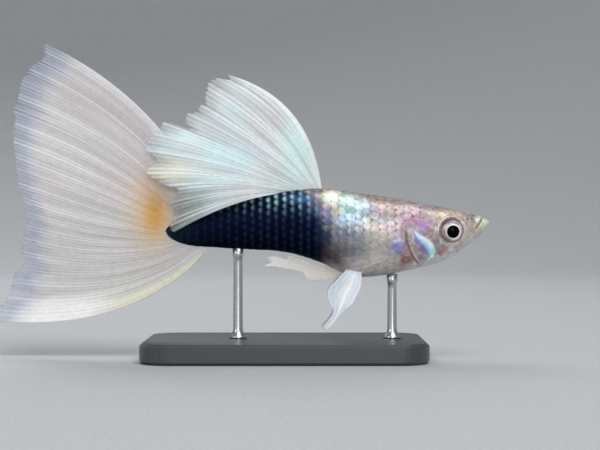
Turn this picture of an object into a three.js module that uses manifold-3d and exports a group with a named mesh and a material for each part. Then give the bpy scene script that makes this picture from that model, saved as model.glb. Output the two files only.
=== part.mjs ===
// A life-size model of a male fancy guppy, swimming level with its fins spread, on a plain display
// stand. Millimetres, +Z up. The head points along +X and the fish's right side faces -Y. The origin
// is the middle of the stand's underside.
//
// Points of the fish are written as [back, up]: back is the distance behind the tip of the lower jaw,
// and up is the height above the level line through the middle of the eye.
import * as THREE from 'three';
import { mergeVertices } from 'three/addons/utils/BufferGeometryUtils.js';
import Module from 'manifold-3d';

const wasm = await Module();
wasm.setup();

// Driving sizes
const GAP = 0.3; // between pieces that touch
const SNOUT_X = 20.3; // the tip of the lower jaw
const AXIS_Z = 12.6; // the level line through the eye
const BODY_LENGTH = 32.3; // jaw tip to the end of the scaled lobe on the tail fin
const JAW_TIP_UP = 1.0;
const SNOUT_ROUND = 0.75; // length over which the snout rounds off
const LOBE_ROUND = 3.2; // the same for the height of the scaled lobe
const LOBE_EDGE_ROUND = 0.8; // and for its width
const LOBE_UP = 0.15;
const WIDEST_SHARE = 0.52; // share of the body's height at which it is widest
const FIN_HALF_THICKNESS = 0.26;
const FIN_EDGE_HALF_THICKNESS = 0.11;
const RAY_HEIGHT = 0.09;
const EYE_BACK = 3.78;
const EYE_UP = 0.12;
const EYE_RADIUS = 1.2;
const EYE_HALF_DEPTH = 0.85;
const EYE_CENTRE_Y = 1.34;
const GILL_FLARE = 0.16; // how far the gill cover stands out from the flank
const COVER_THICKNESS = 0.6;
const THROAT_HALF_WIDTH = 0.55;
const BASE = { length: 28, width: 16, height: 2, corner: 3, chamfer: 0.3 };
const ROD_RADIUS = 0.5;
const ROD_BACKS = { front: 9.6, rear: 25.0 };

// Profiles of the body: [back, size]
const BACK_LINE = [
  [0, 1.22], [0.8, 1.56], [1.8, 1.92], [3.8, 2.34], [5.8, 2.78], [8.8, 3.42], [12.6, 3.94],
  [16.5, 4.45], [19.8, 4.22], [22.8, 3.78], [26.8, 2.68], [30.3, 1.75], [32.3, 1.3],
];
const BELLY_LINE = [
  [0, 0.62], [0.8, -0.35], [1.8, -1.15], [3.8, -2.55], [5.8, -3.3], [8.8, -4.05], [10.8, -4.42],
  [12.6, -4.53], [14.3, -4.2], [16.5, -3.2], [18.3, -2.55], [20.8, -1.98], [24.8, -1.75],
  [28.8, -1.5], [32.3, -1.3],
];
const HALF_WIDTHS = [
  [0, 0.98], [0.8, 1.15], [1.8, 1.4], [3.8, 1.88], [5.8, 2.15], [8.8, 2.33], [12.6, 2.3],
  [16.5, 1.95], [19.8, 1.6], [24.8, 1.12], [28.8, 0.8], [32.3, 0.55],
];
// How boxy the upper and lower halves of a section are: 2 is an ellipse
const UPPER_BOXINESS = [[0, 2.2], [3.8, 2.7], [8, 2.35], [14, 2.1], [32.3, 2.1]];
const LOWER_BOXINESS = [[0, 2.1], [3.8, 2.2], [10, 2.1], [18, 1.9], [32.3, 2.1]];

// Where the head ends, from the nape down round the gill cover to the throat
const GILL_LINE = [[6.3, 4.2], [6.9, 2.4], [8.0, 0.8], [8.5, -0.8], [8.15, -2.3], [7.1, -3.5], [6.2, -4.8]];
const GILL_COVER = [[5.7, 1.0], [9.5, 1.0], [9.5, -3.35], [6.1, -3.35], [5.35, -2.5], [5.2, -1.0]];
const STEM_BACK = 21.0; // where the trunk passes into the tail stem

// Interpolates a table of [where, value] with a smooth cubic.
function smooth(table, at) {
  const last = table.length - 1;
  let i = 0;
  while (i < last - 1 && at > table[i + 1][0]) i++;
  const slope = (k) => {
    const a = table[Math.max(k - 1, 0)];
    const b = table[Math.min(k + 1, last)];
    return (b[1] - a[1]) / (b[0] - a[0]);
  };
  const [x0, y0] = table[i];
  const [x1, y1] = table[i + 1];
  const span = x1 - x0;
  const t = THREE.MathUtils.clamp((at - x0) / span, 0, 1);
  const m0 = slope(i) * span;
  const m1 = slope(i + 1) * span;
  return (
    y0 * (2 * t ** 3 - 3 * t ** 2 + 1) + m0 * (t ** 3 - 2 * t ** 2 + t) +
    y1 * (3 * t ** 2 - 2 * t ** 3) + m1 * (t ** 3 - t ** 2)
  );
}

const ramp = THREE.MathUtils.smoothstep;
const roundOff = (distance, length) => Math.sqrt(1 - (1 - Math.min(distance / length, 1)) ** 2);
const place = (back, up, y = 0) => new THREE.Vector3(SNOUT_X - back, y, AXIS_Z + up);

// The body's section at a distance behind the jaw: its top, bottom, widest level and half width.
function section(back) {
  const at = THREE.MathUtils.clamp(back, 0, BODY_LENGTH);
  const snout = roundOff(at, SNOUT_ROUND);
  const lobe = roundOff(BODY_LENGTH - at, LOBE_ROUND);
  const lobeEdge = roundOff(BODY_LENGTH - at, LOBE_EDGE_ROUND);
  let top = smooth(BACK_LINE, at);
  let bottom = smooth(BELLY_LINE, at);
  top = JAW_TIP_UP + (top - JAW_TIP_UP) * snout;
  bottom = JAW_TIP_UP + (bottom - JAW_TIP_UP) * snout;
  top = LOBE_UP + (top - LOBE_UP) * lobe;
  bottom = LOBE_UP + (bottom - LOBE_UP) * lobe;
  return {
    top,
    bottom,
    widest: bottom + (top - bottom) * WIDEST_SHARE,
    half: smooth(HALF_WIDTHS, at) * snout * lobeEdge,
  };
}

// A point of the skin, grown outwards by extra. The angle is 0 at the left flank and a quarter turn at
// the back.
function skinPoint(back, angle, extra, flare) {
  const at = THREE.MathUtils.clamp(back, 0, BODY_LENGTH);
  const { top, bottom, widest, half } = section(at);
  const across = Math.cos(angle);
  const rise = Math.sin(angle);
  const boxiness = smooth(rise > 0 ? UPPER_BOXINESS : LOWER_BOXINESS, at);
  const reach = (rise > 0 ? top - widest : widest - bottom) + extra;
  const up = widest + Math.sign(rise) * reach * Math.abs(rise) ** (2 / boxiness);
  const standOut = flare * ramp(back, 4.8, 7.4) * ramp(up, -3.9, -2.6) * (1 - ramp(up, 0.2, 1.8));
  const y = Math.sign(across) * (half + extra + standOut) * Math.abs(across) ** (2 / boxiness);
  return place(back, up, y);
}

// A closed mesh from rings of points, each end closed by a fan to its middle.
function closedRings(rings) {
  const around = rings[0].length;
  const points = rings.flat();
  const faces = [];
  for (let r = 0; r + 1 < rings.length; r++) {
    for (let k = 0; k < around; k++) {
      const a = r * around + k;
      const b = r * around + ((k + 1) % around);
      faces.push([a, a + around, b], [b, a + around, b + around]);
    }
  }
  for (const [r, turn] of [[0, 1], [rings.length - 1, -1]]) {
    const middle = new THREE.Vector3();
    rings[r].forEach((p) => middle.addScaledVector(p, 1 / around));
    const hub = points.push(middle) - 1;
    for (let k = 0; k < around; k++) {
      const a = r * around + k;
      const b = r * around + ((k + 1) % around);
      faces.push(turn > 0 ? [hub, a, b] : [hub, b, a]);
    }
  }
  return meshOf(points, faces);
}

function meshOf(points, faces) {
  const geometry = new THREE.BufferGeometry().setFromPoints(points);
  geometry.setIndex(faces.flat());
  return geometry;
}

// Distances behind the jaw at which the body has a ring: close together on the head and at both ends.
const RING_BACKS = (() => {
  const backs = [];
  for (let k = 0; k <= 6; k++) backs.push(SNOUT_ROUND * (1 - Math.cos((k / 6) * (Math.PI / 2))));
  for (let k = 1; k <= 15; k++) backs.push(SNOUT_ROUND + k * 0.5);
  for (let k = 1; k <= 20; k++) backs.push(8.25 + k * 1.07);
  for (let k = 1; k <= 8; k++) {
    backs.push(29.65 + (BODY_LENGTH - 29.65) * Math.sin((k / 8) * (Math.PI / 2)));
  }
  return backs;
})();

function bodySolid(extra = 0, flare = 0, around = 28) {
  const first = 0.02; // the end rings keep a little size, so that no face collapses
  const rings = RING_BACKS.map((back, r) => {
    const ends = [Math.max(back, first), Math.min(back, BODY_LENGTH - first)];
    const at = r === 0 ? ends[0] : ends[1];
    const shift = r === 0 ? -extra : r === RING_BACKS.length - 1 ? extra : 0;
    return Array.from({ length: around }, (_, k) => {
      const point = skinPoint(at, (k / around) * 2 * Math.PI, extra, flare);
      point.x -= shift;
      return point;
    });
  });
  return solidOf(closedRings(rings));
}

// A closed mesh as a solid that can be joined and cut.
function solidOf(geometry) {
  const plain = geometry.clone();
  plain.deleteAttribute('normal');
  plain.deleteAttribute('uv');
  const merged = mergeVertices(plain, 1e-4);
  return new wasm.Manifold(
    new wasm.Mesh({
      numProp: 3,
      vertProperties: merged.attributes.position.array,
      triVerts: new Uint32Array(merged.index.array),
    }),
  );
}

const largest = (solid) => solid.decompose().sort((a, b) => b.volume() - a.volume())[0];

function geometryOf(solid) {
  const mesh = solid.getMesh();
  const geometry = new THREE.BufferGeometry();
  geometry.setAttribute('position', new THREE.BufferAttribute(mesh.vertProperties, 3));
  geometry.setIndex(new THREE.BufferAttribute(mesh.triVerts, 1));
  const faceted = geometry.toNonIndexed();
  faceted.computeVertexNormals();
  return faceted;
}

// A side outline run straight through the fish from left to right.
const THROUGH = 12;
function prism(outline) {
  const shape = new THREE.Shape(outline.map(([back, up]) => new THREE.Vector2(SNOUT_X - back, AXIS_Z + up)));
  const geometry = new THREE.ExtrudeGeometry(shape, { depth: THROUGH, bevelEnabled: false });
  return solidOf(geometry.translate(0, 0, -THROUGH / 2).rotateX(Math.PI / 2));
}

const spline = (points) => new THREE.SplineCurve(points.map(([x, y]) => new THREE.Vector2(x, y)));
const gillLine = (shift) => spline(GILL_LINE).getPoints(24).map((p) => [p.x + shift, p.y]);

// Moves each corner of an outline away from its middle.
function grown(outline, by) {
  const middle = outline.reduce((m, [x, y]) => [m[0] + x / outline.length, m[1] + y / outline.length], [0, 0]);
  return outline.map(([x, y]) => {
    const away = new THREE.Vector2(x - middle[0], y - middle[1]).setLength(by * Math.SQRT2);
    return [x + away.x, y + away.y];
  });
}

function ellipsoid(back, up, y, radii, detail = [14, 8]) {
  const geometry = new THREE.SphereGeometry(1, ...detail);
  geometry.rotateX(Math.PI / 2).scale(...radii);
  const middle = place(back, up, y);
  return solidOf(geometry.translate(middle.x, middle.y, middle.z));
}

// Head, with its mouth, lips, nostrils and eye sockets
const IN_FRONT = -3;
const BEHIND = 40;
const HIGH = 9;
const LOW = -9;
const headRegion = prism([...gillLine(-GAP / 2), [IN_FRONT, LOW], [IN_FRONT, HIGH]]);
const trunkRegion = prism([...gillLine(GAP / 2), [STEM_BACK - GAP / 2, LOW], [STEM_BACK - GAP / 2, HIGH]]);
const stemRegion = prism([
  [STEM_BACK + GAP / 2, LOW], [BEHIND, LOW], [BEHIND, HIGH], [STEM_BACK + GAP / 2, HIGH],
]);
const MOUTH_CUT = [[0.3, 1.75], [0.62, 1.95], [1.58, 0.16], [1.5, 0.08]];
const LIPS = [
  { back: 0.92, up: 1.38, radii: [0.27, 0.82, 0.24] },
  { back: 0.36, up: 1.04, radii: [0.3, 0.84, 0.3] },
];
const NOSTRILS = [{ back: 1.75, up: 1.42, radius: 0.16 }, { back: 2.3, up: 1.5, radius: 0.19 }];

// The half width of the skin at a place on the flank.
function flankY(back, up) {
  const { top, bottom, widest, half } = section(back);
  const share = up > widest ? (up - widest) / (top - widest) : (widest - up) / (widest - bottom);
  const boxiness = smooth(up > widest ? UPPER_BOXINESS : LOWER_BOXINESS, back);
  return half * Math.max(1 - Math.min(share, 1) ** boxiness, 0) ** (1 / boxiness);
}

function throatStrip(extra) {
  const width = 2 * (THROAT_HALF_WIDTH + extra);
  const box = new THREE.BoxGeometry(20, width, 8);
  const middle = place(8, -6);
  return solidOf(box.translate(middle.x, 0, middle.z));
}

function orbitRing(side) {
  const ring = new THREE.TorusGeometry(EYE_RADIUS + GAP + 0.06, 0.15, 5, 18);
  ring.rotateX(Math.PI / 2).rotateZ(side * 0.16);
  const middle = place(EYE_BACK, EYE_UP, side * (flankY(EYE_BACK, EYE_UP) - 0.16));
  return solidOf(ring.translate(middle.x, middle.y, middle.z));
}

function headSolids() {
  const whole = bodySolid(0, GILL_FLARE).intersect(headRegion);
  const cover = prism(GILL_COVER);
  const recess = prism(grown(GILL_COVER, GAP));
  const underCover = bodySolid(-COVER_THICKNESS, GILL_FLARE);
  const underRecess = bodySolid(-COVER_THICKNESS - GAP, GILL_FLARE);
  // The two covers stop short of each other under the throat.
  const covers = whole.intersect(cover).subtract(underCover).subtract(throatStrip(0)).decompose();
  let head = whole.subtract(recess.subtract(underRecess).subtract(throatStrip(-GAP)));
  for (const side of [1, -1]) head = head.add(orbitRing(side));
  for (const { back, up, radii } of LIPS) head = head.add(ellipsoid(back, up, 0, radii));
  head = head.subtract(prism(MOUTH_CUT));
  const socket = [EYE_RADIUS + GAP, EYE_HALF_DEPTH + GAP, EYE_RADIUS + GAP];
  for (const side of [1, -1]) {
    head = head.subtract(ellipsoid(EYE_BACK, EYE_UP, side * EYE_CENTRE_Y, socket, [18, 10]));
    for (const { back, up, radius } of NOSTRILS) {
      const pit = ellipsoid(back, up, side * flankY(back, up), [radius, radius, radius], [6, 4]);
      head = head.subtract(pit);
    }
  }
  const bySide = (side) =>
    covers
      .filter((c) => Math.sign(c.boundingBox().max[1] + c.boundingBox().min[1]) === side)
      .sort((a, b) => b.volume() - a.volume())[0];
  return { head: largest(head), coverLeft: bySide(1), coverRight: bySide(-1) };
}

// Fins. Root and tip run across the rays, from the lower or rear edge to the upper or front one. The rays
// of a fan bend a little: bends gives that of the first, middle and last ray as shares of its length, along
// the ray and square to it. The higher lastOnly is, the fewer rays share the bend of the last one. A
// smaller fin has its two edges, which run along the rays, drawn in full.
const CAUDAL = {
  root: [[27.6, -1.2], [30.2, -0.6], [31.4, 0.2], [30.2, 0.9], [27.9, 1.8]],
  tip: [
    [50.3, -9.0], [48.6, -5.8], [47.6, -2.3], [47.0, 1.7], [47.6, 5.2], [48.2, 8.2], [48.3, 11.7],
    [47.6, 15.0], [46.3, 17.2], [44.5, 19.1],
  ],
  bends: [[0.4, -0.26], [0.5, 0], [0.45, 0.2]],
  lastOnly: 1,
  rays: 16,
  columnsPerRay: 4,
  rows: 9,
  fringe: 0.055,
  seed: 11,
  // Swept away from the viewer's side towards the edge, with long soft folds
  side: (u, v) => 1.7 * v ** 2 + 0.45 * v * Math.sin(u * 3 * Math.PI + 0.6),
};
const DORSAL = {
  root: [[19.9, 4.0], [18.3, 4.1], [16.6, 4.1]],
  tip: [
    [31.2, 0.0], [32.4, 0.6], [32.7, 2.2], [32.8, 4.1], [34.4, 5.3], [34.7, 7.0], [34.5, 9.4], [33.4, 11.3],
    [31.2, 10.7], [30.6, 12.4], [29.4, 14.3], [27.8, 15.6], [25.8, 15.6],
  ],
  bends: [[0.46, 0.107], [0.5, 0.06], [0.53, 0.34]],
  lastOnly: 4,
  rays: 9,
  columnsPerRay: 4,
  rows: 8,
  fringe: 0.07,
  seed: 5,
  // Leans to the right and lies along that side of the tail stem at its lower edge
  side: (u, v) => -(0.5 + 0.9 * (1 - u)) * ramp(v, 0, 0.34) - 0.55 * v,
};
const ANAL = {
  root: [[13.6, -3.8], [14.9, -3.1]],
  tip: [[22.6, -3.38], [21.8, -2.95], [22.3, -2.55]],
  lower: [
    [13.6, -3.8], [15.3, -4.62], [17.3, -4.8], [18.15, -4.6], [18.5, -4.05], [19.8, -3.7], [21.3, -3.42],
    [22.6, -3.38],
  ],
  upper: [
    [14.9, -3.1], [16.8, -3.35], [18.3, -2.8], [19.8, -2.35], [20.15, -2.7], [21.3, -2.4], [22.3, -2.55],
  ],
  rays: 5,
  columnsPerRay: 2,
  rows: 10,
  fringe: 0.02,
  seed: 3,
  side: () => 0,
};
const PELVIC = {
  root: [[12.7, -3.8], [14.2, -3.7]],
  tip: [[16.1, -9.62], [16.4, -9.7], [16.7, -9.5]],
  lower: [
    [12.7, -3.8], [12.7, -5.2], [13.1, -6.2], [13.6, -7.1], [14.5, -7.8], [15.1, -8.5], [15.7, -9.25],
    [16.1, -9.62],
  ],
  upper: [
    [14.2, -3.7], [15.3, -4.85], [15.9, -5.5], [16.1, -6.2], [15.85, -7.0], [15.5, -7.7], [15.75, -8.35],
    [16.7, -9.5],
  ],
  rays: 5,
  columnsPerRay: 2,
  rows: 9,
  fringe: 0.02,
  seed: 7,
};
const PECTORAL = {
  root: [[8.9, -1.9], [8.9, -0.7]],
  tip: [[12.6, -3.3], [13.6, -2.4], [13.9, -1.2], [13.7, -0.1], [13.0, 0.6]],
  lower: [[8.9, -1.9], [10.6, -2.8], [12.6, -3.3]],
  upper: [[8.9, -0.7], [10.9, 0.2], [13.0, 0.6]],
  rays: 7,
  columnsPerRay: 2,
  rows: 7,
  fringe: 0.04,
  seed: 9,
};
const PELVIC_ROOT_Y = 0.95;
const PELVIC_SPLAY = 0.15; // outwards for each millimetre down
const PECTORAL_ROOT_Y = 1.9;
const PECTORAL_SPLAY = 0.52; // outwards for each millimetre back

// A seeded draw of numbers from 0 to 1.
function draws(seed) {
  let state = seed * 7919;
  return () => {
    state = (state * 1103515245 + 12345) % 2147483648;
    return state / 2147483648;
  };
}

// How far a column's ridge stands out at a share of the way along it. Each ray forks about half way out.
function ridge(column, perRay, v) {
  const phase = column % perRay;
  if (perRay === 2) return phase === 0 ? 1 : 0;
  const forked = ramp(v, 0.25, 0.6);
  return [1 - 0.75 * forked, 0.85 * forked, 0, 0.85 * forked][phase];
}

// The outer edge of a fan, read by the share of the turn about its root, so that the rays spread evenly.
function fanEdge(fin) {
  const points = spline(fin.tip).getPoints(240);
  const hub = spline(fin.root).getPoint(0.5);
  const turned = [0];
  for (let k = 1; k < points.length; k++) {
    const step = points[k].clone().sub(points[k - 1]);
    const out = points[k].clone().sub(hub).normalize();
    turned.push(turned[k - 1] + Math.abs(step.cross(out)) + 0.15 * step.length());
  }
  return (u) => {
    const wanted = u * turned[turned.length - 1];
    let k = 0;
    while (k < points.length - 2 && turned[k + 1] < wanted) k++;
    return points[k].clone().lerp(points[k + 1], (wanted - turned[k]) / (turned[k + 1] - turned[k]));
  };
}

// Where a fin's point lies, from its share across the rays, u, and along them, v.
function fanSheet(fin) {
  const root = spline(fin.root);
  const edge = fanEdge(fin);
  return (u, v) => {
    const start = root.getPointAt(u);
    const end = edge(u);
    const [first, middle, last] = fin.bends;
    const share = Math.abs(2 * u - 1) ** (u < 0.5 ? 1 : fin.lastOnly);
    const outer = u < 0.5 ? first : last;
    const along = THREE.MathUtils.lerp(middle[0], outer[0], share);
    const aside = THREE.MathUtils.lerp(middle[1], outer[1], share);
    const ray = end.clone().sub(start);
    const bend = start.clone().addScaledVector(ray, along);
    bend.addScaledVector(new THREE.Vector2(-ray.y, ray.x), aside);
    return new THREE.QuadraticBezierCurve(start, bend, end).getPoint(v);
  };
}

function framedSheet(fin) {
  const [root, tip, lower, upper] = [fin.root, fin.tip, fin.lower, fin.upper].map(spline);
  const corners = [root.getPoint(0), root.getPoint(1), tip.getPoint(0), tip.getPoint(1)];
  return (u, v) => {
    const point = root.getPointAt(u).multiplyScalar(1 - v);
    point.addScaledVector(tip.getPointAt(u), v);
    point.addScaledVector(lower.getPointAt(v), 1 - u).addScaledVector(upper.getPointAt(v), u);
    const shares = [(1 - u) * (1 - v), u * (1 - v), (1 - u) * v, u * v];
    corners.forEach((corner, k) => point.addScaledVector(corner, -shares[k]));
    return point;
  };
}

function finSolid(fin, side = fin.side) {
  const sheetPoint = fin.bends ? fanSheet(fin) : framedSheet(fin);
  const columns = fin.rays * fin.columnsPerRay;
  const draw = draws(fin.seed);
  const reach = Array.from({ length: columns + 1 }, (_, c) => {
    const isTip = ridge(c, fin.columnsPerRay, 1) > 0.5;
    const isEdge = c < 2 || c > columns - 2;
    return 1 - (isEdge ? 0 : fin.fringe) * ((isTip ? 0 : 0.6) + 0.7 * draw());
  });
  const faces = [[], []];
  for (let r = 0; r <= fin.rows; r++) {
    for (let c = 0; c <= columns; c++) {
      const u = c / columns;
      const v = (r / fin.rows) * reach[c];
      const p = sheetPoint(u, v);
      const thinning = ramp(r / fin.rows, 0.8, 1);
      const flat = THREE.MathUtils.lerp(FIN_HALF_THICKNESS, FIN_EDGE_HALF_THICKNESS, thinning);
      const half = flat + RAY_HEIGHT * ridge(c, fin.columnsPerRay, v) * (1 - 0.6 * thinning);
      const middle = side(u, v, p.x, p.y);
      faces[0].push(place(p.x, p.y, middle - half));
      faces[1].push(place(p.x, p.y, middle + half));
    }
  }
  // Both faces are split into triangles alike, and a rim joins them.
  const perFace = faces[0].length;
  const at = (r, c) => r * (columns + 1) + c;
  const triangles = [];
  for (let r = 0; r < fin.rows; r++) {
    for (let c = 0; c < columns; c++) {
      const quad = [at(r, c), at(r, c + 1), at(r + 1, c + 1), at(r + 1, c)];
      for (const [i, j, k] of [[0, 1, 2], [0, 2, 3]]) {
        triangles.push([quad[i], quad[j], quad[k]]);
        triangles.push([quad[k] + perFace, quad[j] + perFace, quad[i] + perFace]);
      }
    }
  }
  const rim = [];
  for (let c = 0; c < columns; c++) rim.push(at(0, c));
  for (let r = 0; r < fin.rows; r++) rim.push(at(r, columns));
  for (let c = columns; c > 0; c--) rim.push(at(fin.rows, c));
  for (let r = fin.rows; r > 0; r--) rim.push(at(r, 0));
  rim.forEach((a, k) => {
    const b = rim[(k + 1) % rim.length];
    triangles.push([b, a, a + perFace], [b, a + perFace, b + perFace]);
  });
  return solidOf(meshOf([...faces[0], ...faces[1]], triangles));
}

// Cuts a piece off face to face with the body, a gap away from it.
const bodyAndGap = bodySolid(GAP);
const offBody = (solid) => largest(solid.subtract(bodyAndGap));

const group = new THREE.Group();
const materials = {
  skin: new THREE.MeshStandardMaterial({ color: 0xb9a9a6, roughness: 0.32, metalness: 0.35 }),
  stem: new THREE.MeshStandardMaterial({ color: 0x0a0f24, roughness: 0.35, metalness: 0.4 }),
  cover: new THREE.MeshStandardMaterial({ color: 0x9fc9da, roughness: 0.25, metalness: 0.5 }),
  fin: new THREE.MeshStandardMaterial({ color: 0xdfe8ea, roughness: 0.45, metalness: 0 }),
  eye: new THREE.MeshStandardMaterial({ color: 0x101014, roughness: 0.08, metalness: 0 }),
  base: new THREE.MeshStandardMaterial({ color: 0x2b2d30, roughness: 0.45, metalness: 0 }),
  rod: new THREE.MeshStandardMaterial({ color: 0xb8bcc0, roughness: 0.25, metalness: 1 }),
};

function addNode(name, geometry, material) {
  const mesh = new THREE.Mesh(geometry, material);
  mesh.name = name;
  group.add(mesh);
  return mesh;
}

// Body
const { head, coverLeft, coverRight } = headSolids();
const trunk = largest(bodySolid().intersect(trunkRegion));
const stem = largest(bodySolid().intersect(stemRegion));
addNode('head', geometryOf(head), materials.skin);
addNode('gill_cover_left', geometryOf(coverLeft), materials.cover);
addNode('gill_cover_right', geometryOf(coverRight), materials.cover);
addNode('trunk', geometryOf(trunk), materials.skin);
addNode('tail_stem', geometryOf(stem), materials.stem);

// Eyes
for (const [name, side] of [['eye_left', 1], ['eye_right', -1]]) {
  const eye = ellipsoid(EYE_BACK, EYE_UP, side * EYE_CENTRE_Y, [EYE_RADIUS, EYE_HALF_DEPTH, EYE_RADIUS], [18, 10]);
  addNode(name, geometryOf(eye), materials.eye);
}

// Fins
addNode('caudal_fin', geometryOf(offBody(finSolid(CAUDAL))), materials.fin);
addNode('dorsal_fin', geometryOf(offBody(finSolid(DORSAL))), materials.fin);
addNode('anal_fin', geometryOf(offBody(finSolid(ANAL))), materials.fin);
for (const [suffix, side] of [['left', 1], ['right', -1]]) {
  const pelvicSide = (u, v, back, up) => side * (PELVIC_ROOT_Y - PELVIC_SPLAY * (up - PELVIC.root[0][1]));
  const pectoralSide = (u, v, back) => side * (PECTORAL_ROOT_Y + PECTORAL_SPLAY * (back - PECTORAL.root[0][0]));
  addNode(`pelvic_fin_${suffix}`, geometryOf(offBody(finSolid(PELVIC, pelvicSide))), materials.fin);
  addNode(`pectoral_fin_${suffix}`, geometryOf(offBody(finSolid(PECTORAL, pectoralSide))), materials.fin);
}

// Display stand
function baseGeometry() {
  const { length, width, height, corner, chamfer } = BASE;
  const [x, y] = [length / 2 - chamfer, width / 2 - chamfer];
  const r = corner - chamfer;
  const shape = new THREE.Shape();
  shape.moveTo(r - x, -y);
  shape.lineTo(x - r, -y).absarc(x - r, r - y, r, -Math.PI / 2, 0);
  shape.lineTo(x, y - r).absarc(x - r, y - r, r, 0, Math.PI / 2);
  shape.lineTo(r - x, y).absarc(r - x, y - r, r, Math.PI / 2, Math.PI);
  shape.lineTo(-x, r - y).absarc(r - x, r - y, r, Math.PI, 1.5 * Math.PI);
  const plate = new THREE.ExtrudeGeometry(shape, {
    depth: height - 2 * chamfer,
    bevelThickness: chamfer,
    bevelSize: chamfer,
    bevelSegments: 1,
    curveSegments: 5,
  });
  return plate.translate(0, 0, chamfer);
}

function rodSolid(back) {
  const bottom = BASE.height + GAP;
  const top = AXIS_Z;
  const rod = new THREE.CylinderGeometry(ROD_RADIUS, ROD_RADIUS, top - bottom, 16);
  rod.rotateX(Math.PI / 2).translate(SNOUT_X - back, 0, (top + bottom) / 2);
  return offBody(solidOf(rod));
}

addNode('stand_base', geometryOf(solidOf(baseGeometry())), materials.base);
addNode('stand_rod_front', geometryOf(rodSolid(ROD_BACKS.front)), materials.rod);
addNode('stand_rod_rear', geometryOf(rodSolid(ROD_BACKS.rear)), materials.rod);

export default group;
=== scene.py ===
import math

import bpy
import numpy as np
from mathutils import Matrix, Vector


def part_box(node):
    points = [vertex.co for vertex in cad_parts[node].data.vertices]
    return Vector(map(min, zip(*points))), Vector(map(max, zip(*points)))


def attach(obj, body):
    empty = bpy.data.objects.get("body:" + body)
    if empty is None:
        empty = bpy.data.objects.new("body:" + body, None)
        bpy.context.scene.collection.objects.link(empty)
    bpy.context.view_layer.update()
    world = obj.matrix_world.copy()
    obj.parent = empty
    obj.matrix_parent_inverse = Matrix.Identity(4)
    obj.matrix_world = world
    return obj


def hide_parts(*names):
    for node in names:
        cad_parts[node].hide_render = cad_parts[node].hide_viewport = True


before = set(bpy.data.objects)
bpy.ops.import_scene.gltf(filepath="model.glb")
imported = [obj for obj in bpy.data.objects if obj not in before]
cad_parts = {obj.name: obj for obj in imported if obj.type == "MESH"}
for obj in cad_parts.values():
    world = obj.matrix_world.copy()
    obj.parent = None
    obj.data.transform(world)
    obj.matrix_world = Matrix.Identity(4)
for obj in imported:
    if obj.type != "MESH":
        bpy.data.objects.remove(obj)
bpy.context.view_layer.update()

# A male fancy guppy on a display stand. Sizes are in millimetres until a mesh is made, and points of
# the fish are [back, up]: behind the tip of the lower jaw, and above the level of the eye.
MM = 0.001
SNOUT_X = 20.3
AXIS_Z = 12.6
BODY_LENGTH = 32.3
JAW_TIP_UP = 1.0
SNOUT_ROUND = 0.75
LOBE_ROUND = 3.2
LOBE_EDGE_ROUND = 0.8
LOBE_UP = 0.15
WIDEST_SHARE = 0.52
GILL_FLARE = 0.16
EYE_BACK = 3.78
EYE_UP = 0.12
EYE_RADIUS = 1.18
EYE_HALF_DEPTH = 0.82
EYE_CENTRE_Y = 1.38
PUPIL_RADIUS = 0.62
PUPIL_BACK = 3.7
PUPIL_UP = 0.07
SOCKET_RADIUS = 0.98
SOCKET_EDGE_RADIUS = 1.16
SOCKET_FLOOR_Y = EYE_CENTRE_Y - 0.25
BASE_TOP = 2.0
ROD_BACKS = {"front": 9.6, "rear": 25.0}
COAT_DEPTH = 0.09  # how far the skin lies inside the solids under the scales
BARE_DEPTH = 0.03  # and on the head
TIP = 0.003  # how far inside the body's two ends its section is read

BACK_LINE = [
    (0, 1.22), (0.8, 1.56), (1.8, 1.92), (3.8, 2.34), (5.8, 2.78), (8.8, 3.42), (12.6, 3.94),
    (16.5, 4.45), (19.8, 4.22), (22.8, 3.78), (26.8, 2.68), (30.3, 1.75), (32.3, 1.3),
]
BELLY_LINE = [
    (0, 0.62), (0.8, -0.35), (1.8, -1.15), (3.8, -2.55), (5.8, -3.3), (8.8, -4.05), (10.8, -4.42),
    (12.6, -4.53), (14.3, -4.2), (16.5, -3.2), (18.3, -2.55), (20.8, -1.98), (24.8, -1.75),
    (28.8, -1.5), (32.3, -1.3),
]
HALF_WIDTHS = [
    (0, 0.98), (0.8, 1.15), (1.8, 1.4), (3.8, 1.88), (5.8, 2.15), (8.8, 2.33), (12.6, 2.3),
    (16.5, 1.95), (19.8, 1.6), (24.8, 1.12), (28.8, 0.8), (32.3, 0.55),
]
UPPER_BOXINESS = [(0, 2.2), (3.8, 2.7), (8, 2.35), (14, 2.1), (32.3, 2.1)]
LOWER_BOXINESS = [(0, 2.1), (3.8, 2.2), (10, 2.1), (18, 1.9), (32.3, 2.1)]


# Small tools

def ramp(x, low, high):
    """A smooth step from 0 at low to 1 at high."""
    t = np.clip((x - low) / (high - low), 0, 1)
    return t * t * (3 - 2 * t)


def between(x, low, high, soft):
    """1 from low to high and 0 outside, with soft edges."""
    return ramp(x, low - soft, low + soft) * (1 - ramp(x, high - soft, high + soft))


def bell(x, width):
    return np.exp(-((x / width) ** 2))


def smooth(table, at):
    """A smooth cubic through a table of (where, value)."""
    xs, ys = np.array(table, float).T
    slopes = np.empty_like(ys)
    slopes[1:-1] = (ys[2:] - ys[:-2]) / (xs[2:] - xs[:-2])
    slopes[0] = (ys[1] - ys[0]) / (xs[1] - xs[0])
    slopes[-1] = (ys[-1] - ys[-2]) / (xs[-1] - xs[-2])
    i = np.clip(np.searchsorted(xs, at, side="left") - 1, 0, len(xs) - 2)
    span = xs[i + 1] - xs[i]
    t = np.clip((at - xs[i]) / span, 0, 1)
    return (
        ys[i] * (2 * t**3 - 3 * t**2 + 1)
        + slopes[i] * span * (t**3 - 2 * t**2 + t)
        + ys[i + 1] * (3 * t**2 - 2 * t**3)
        + slopes[i + 1] * span * (t**3 - t**2)
    )


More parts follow.
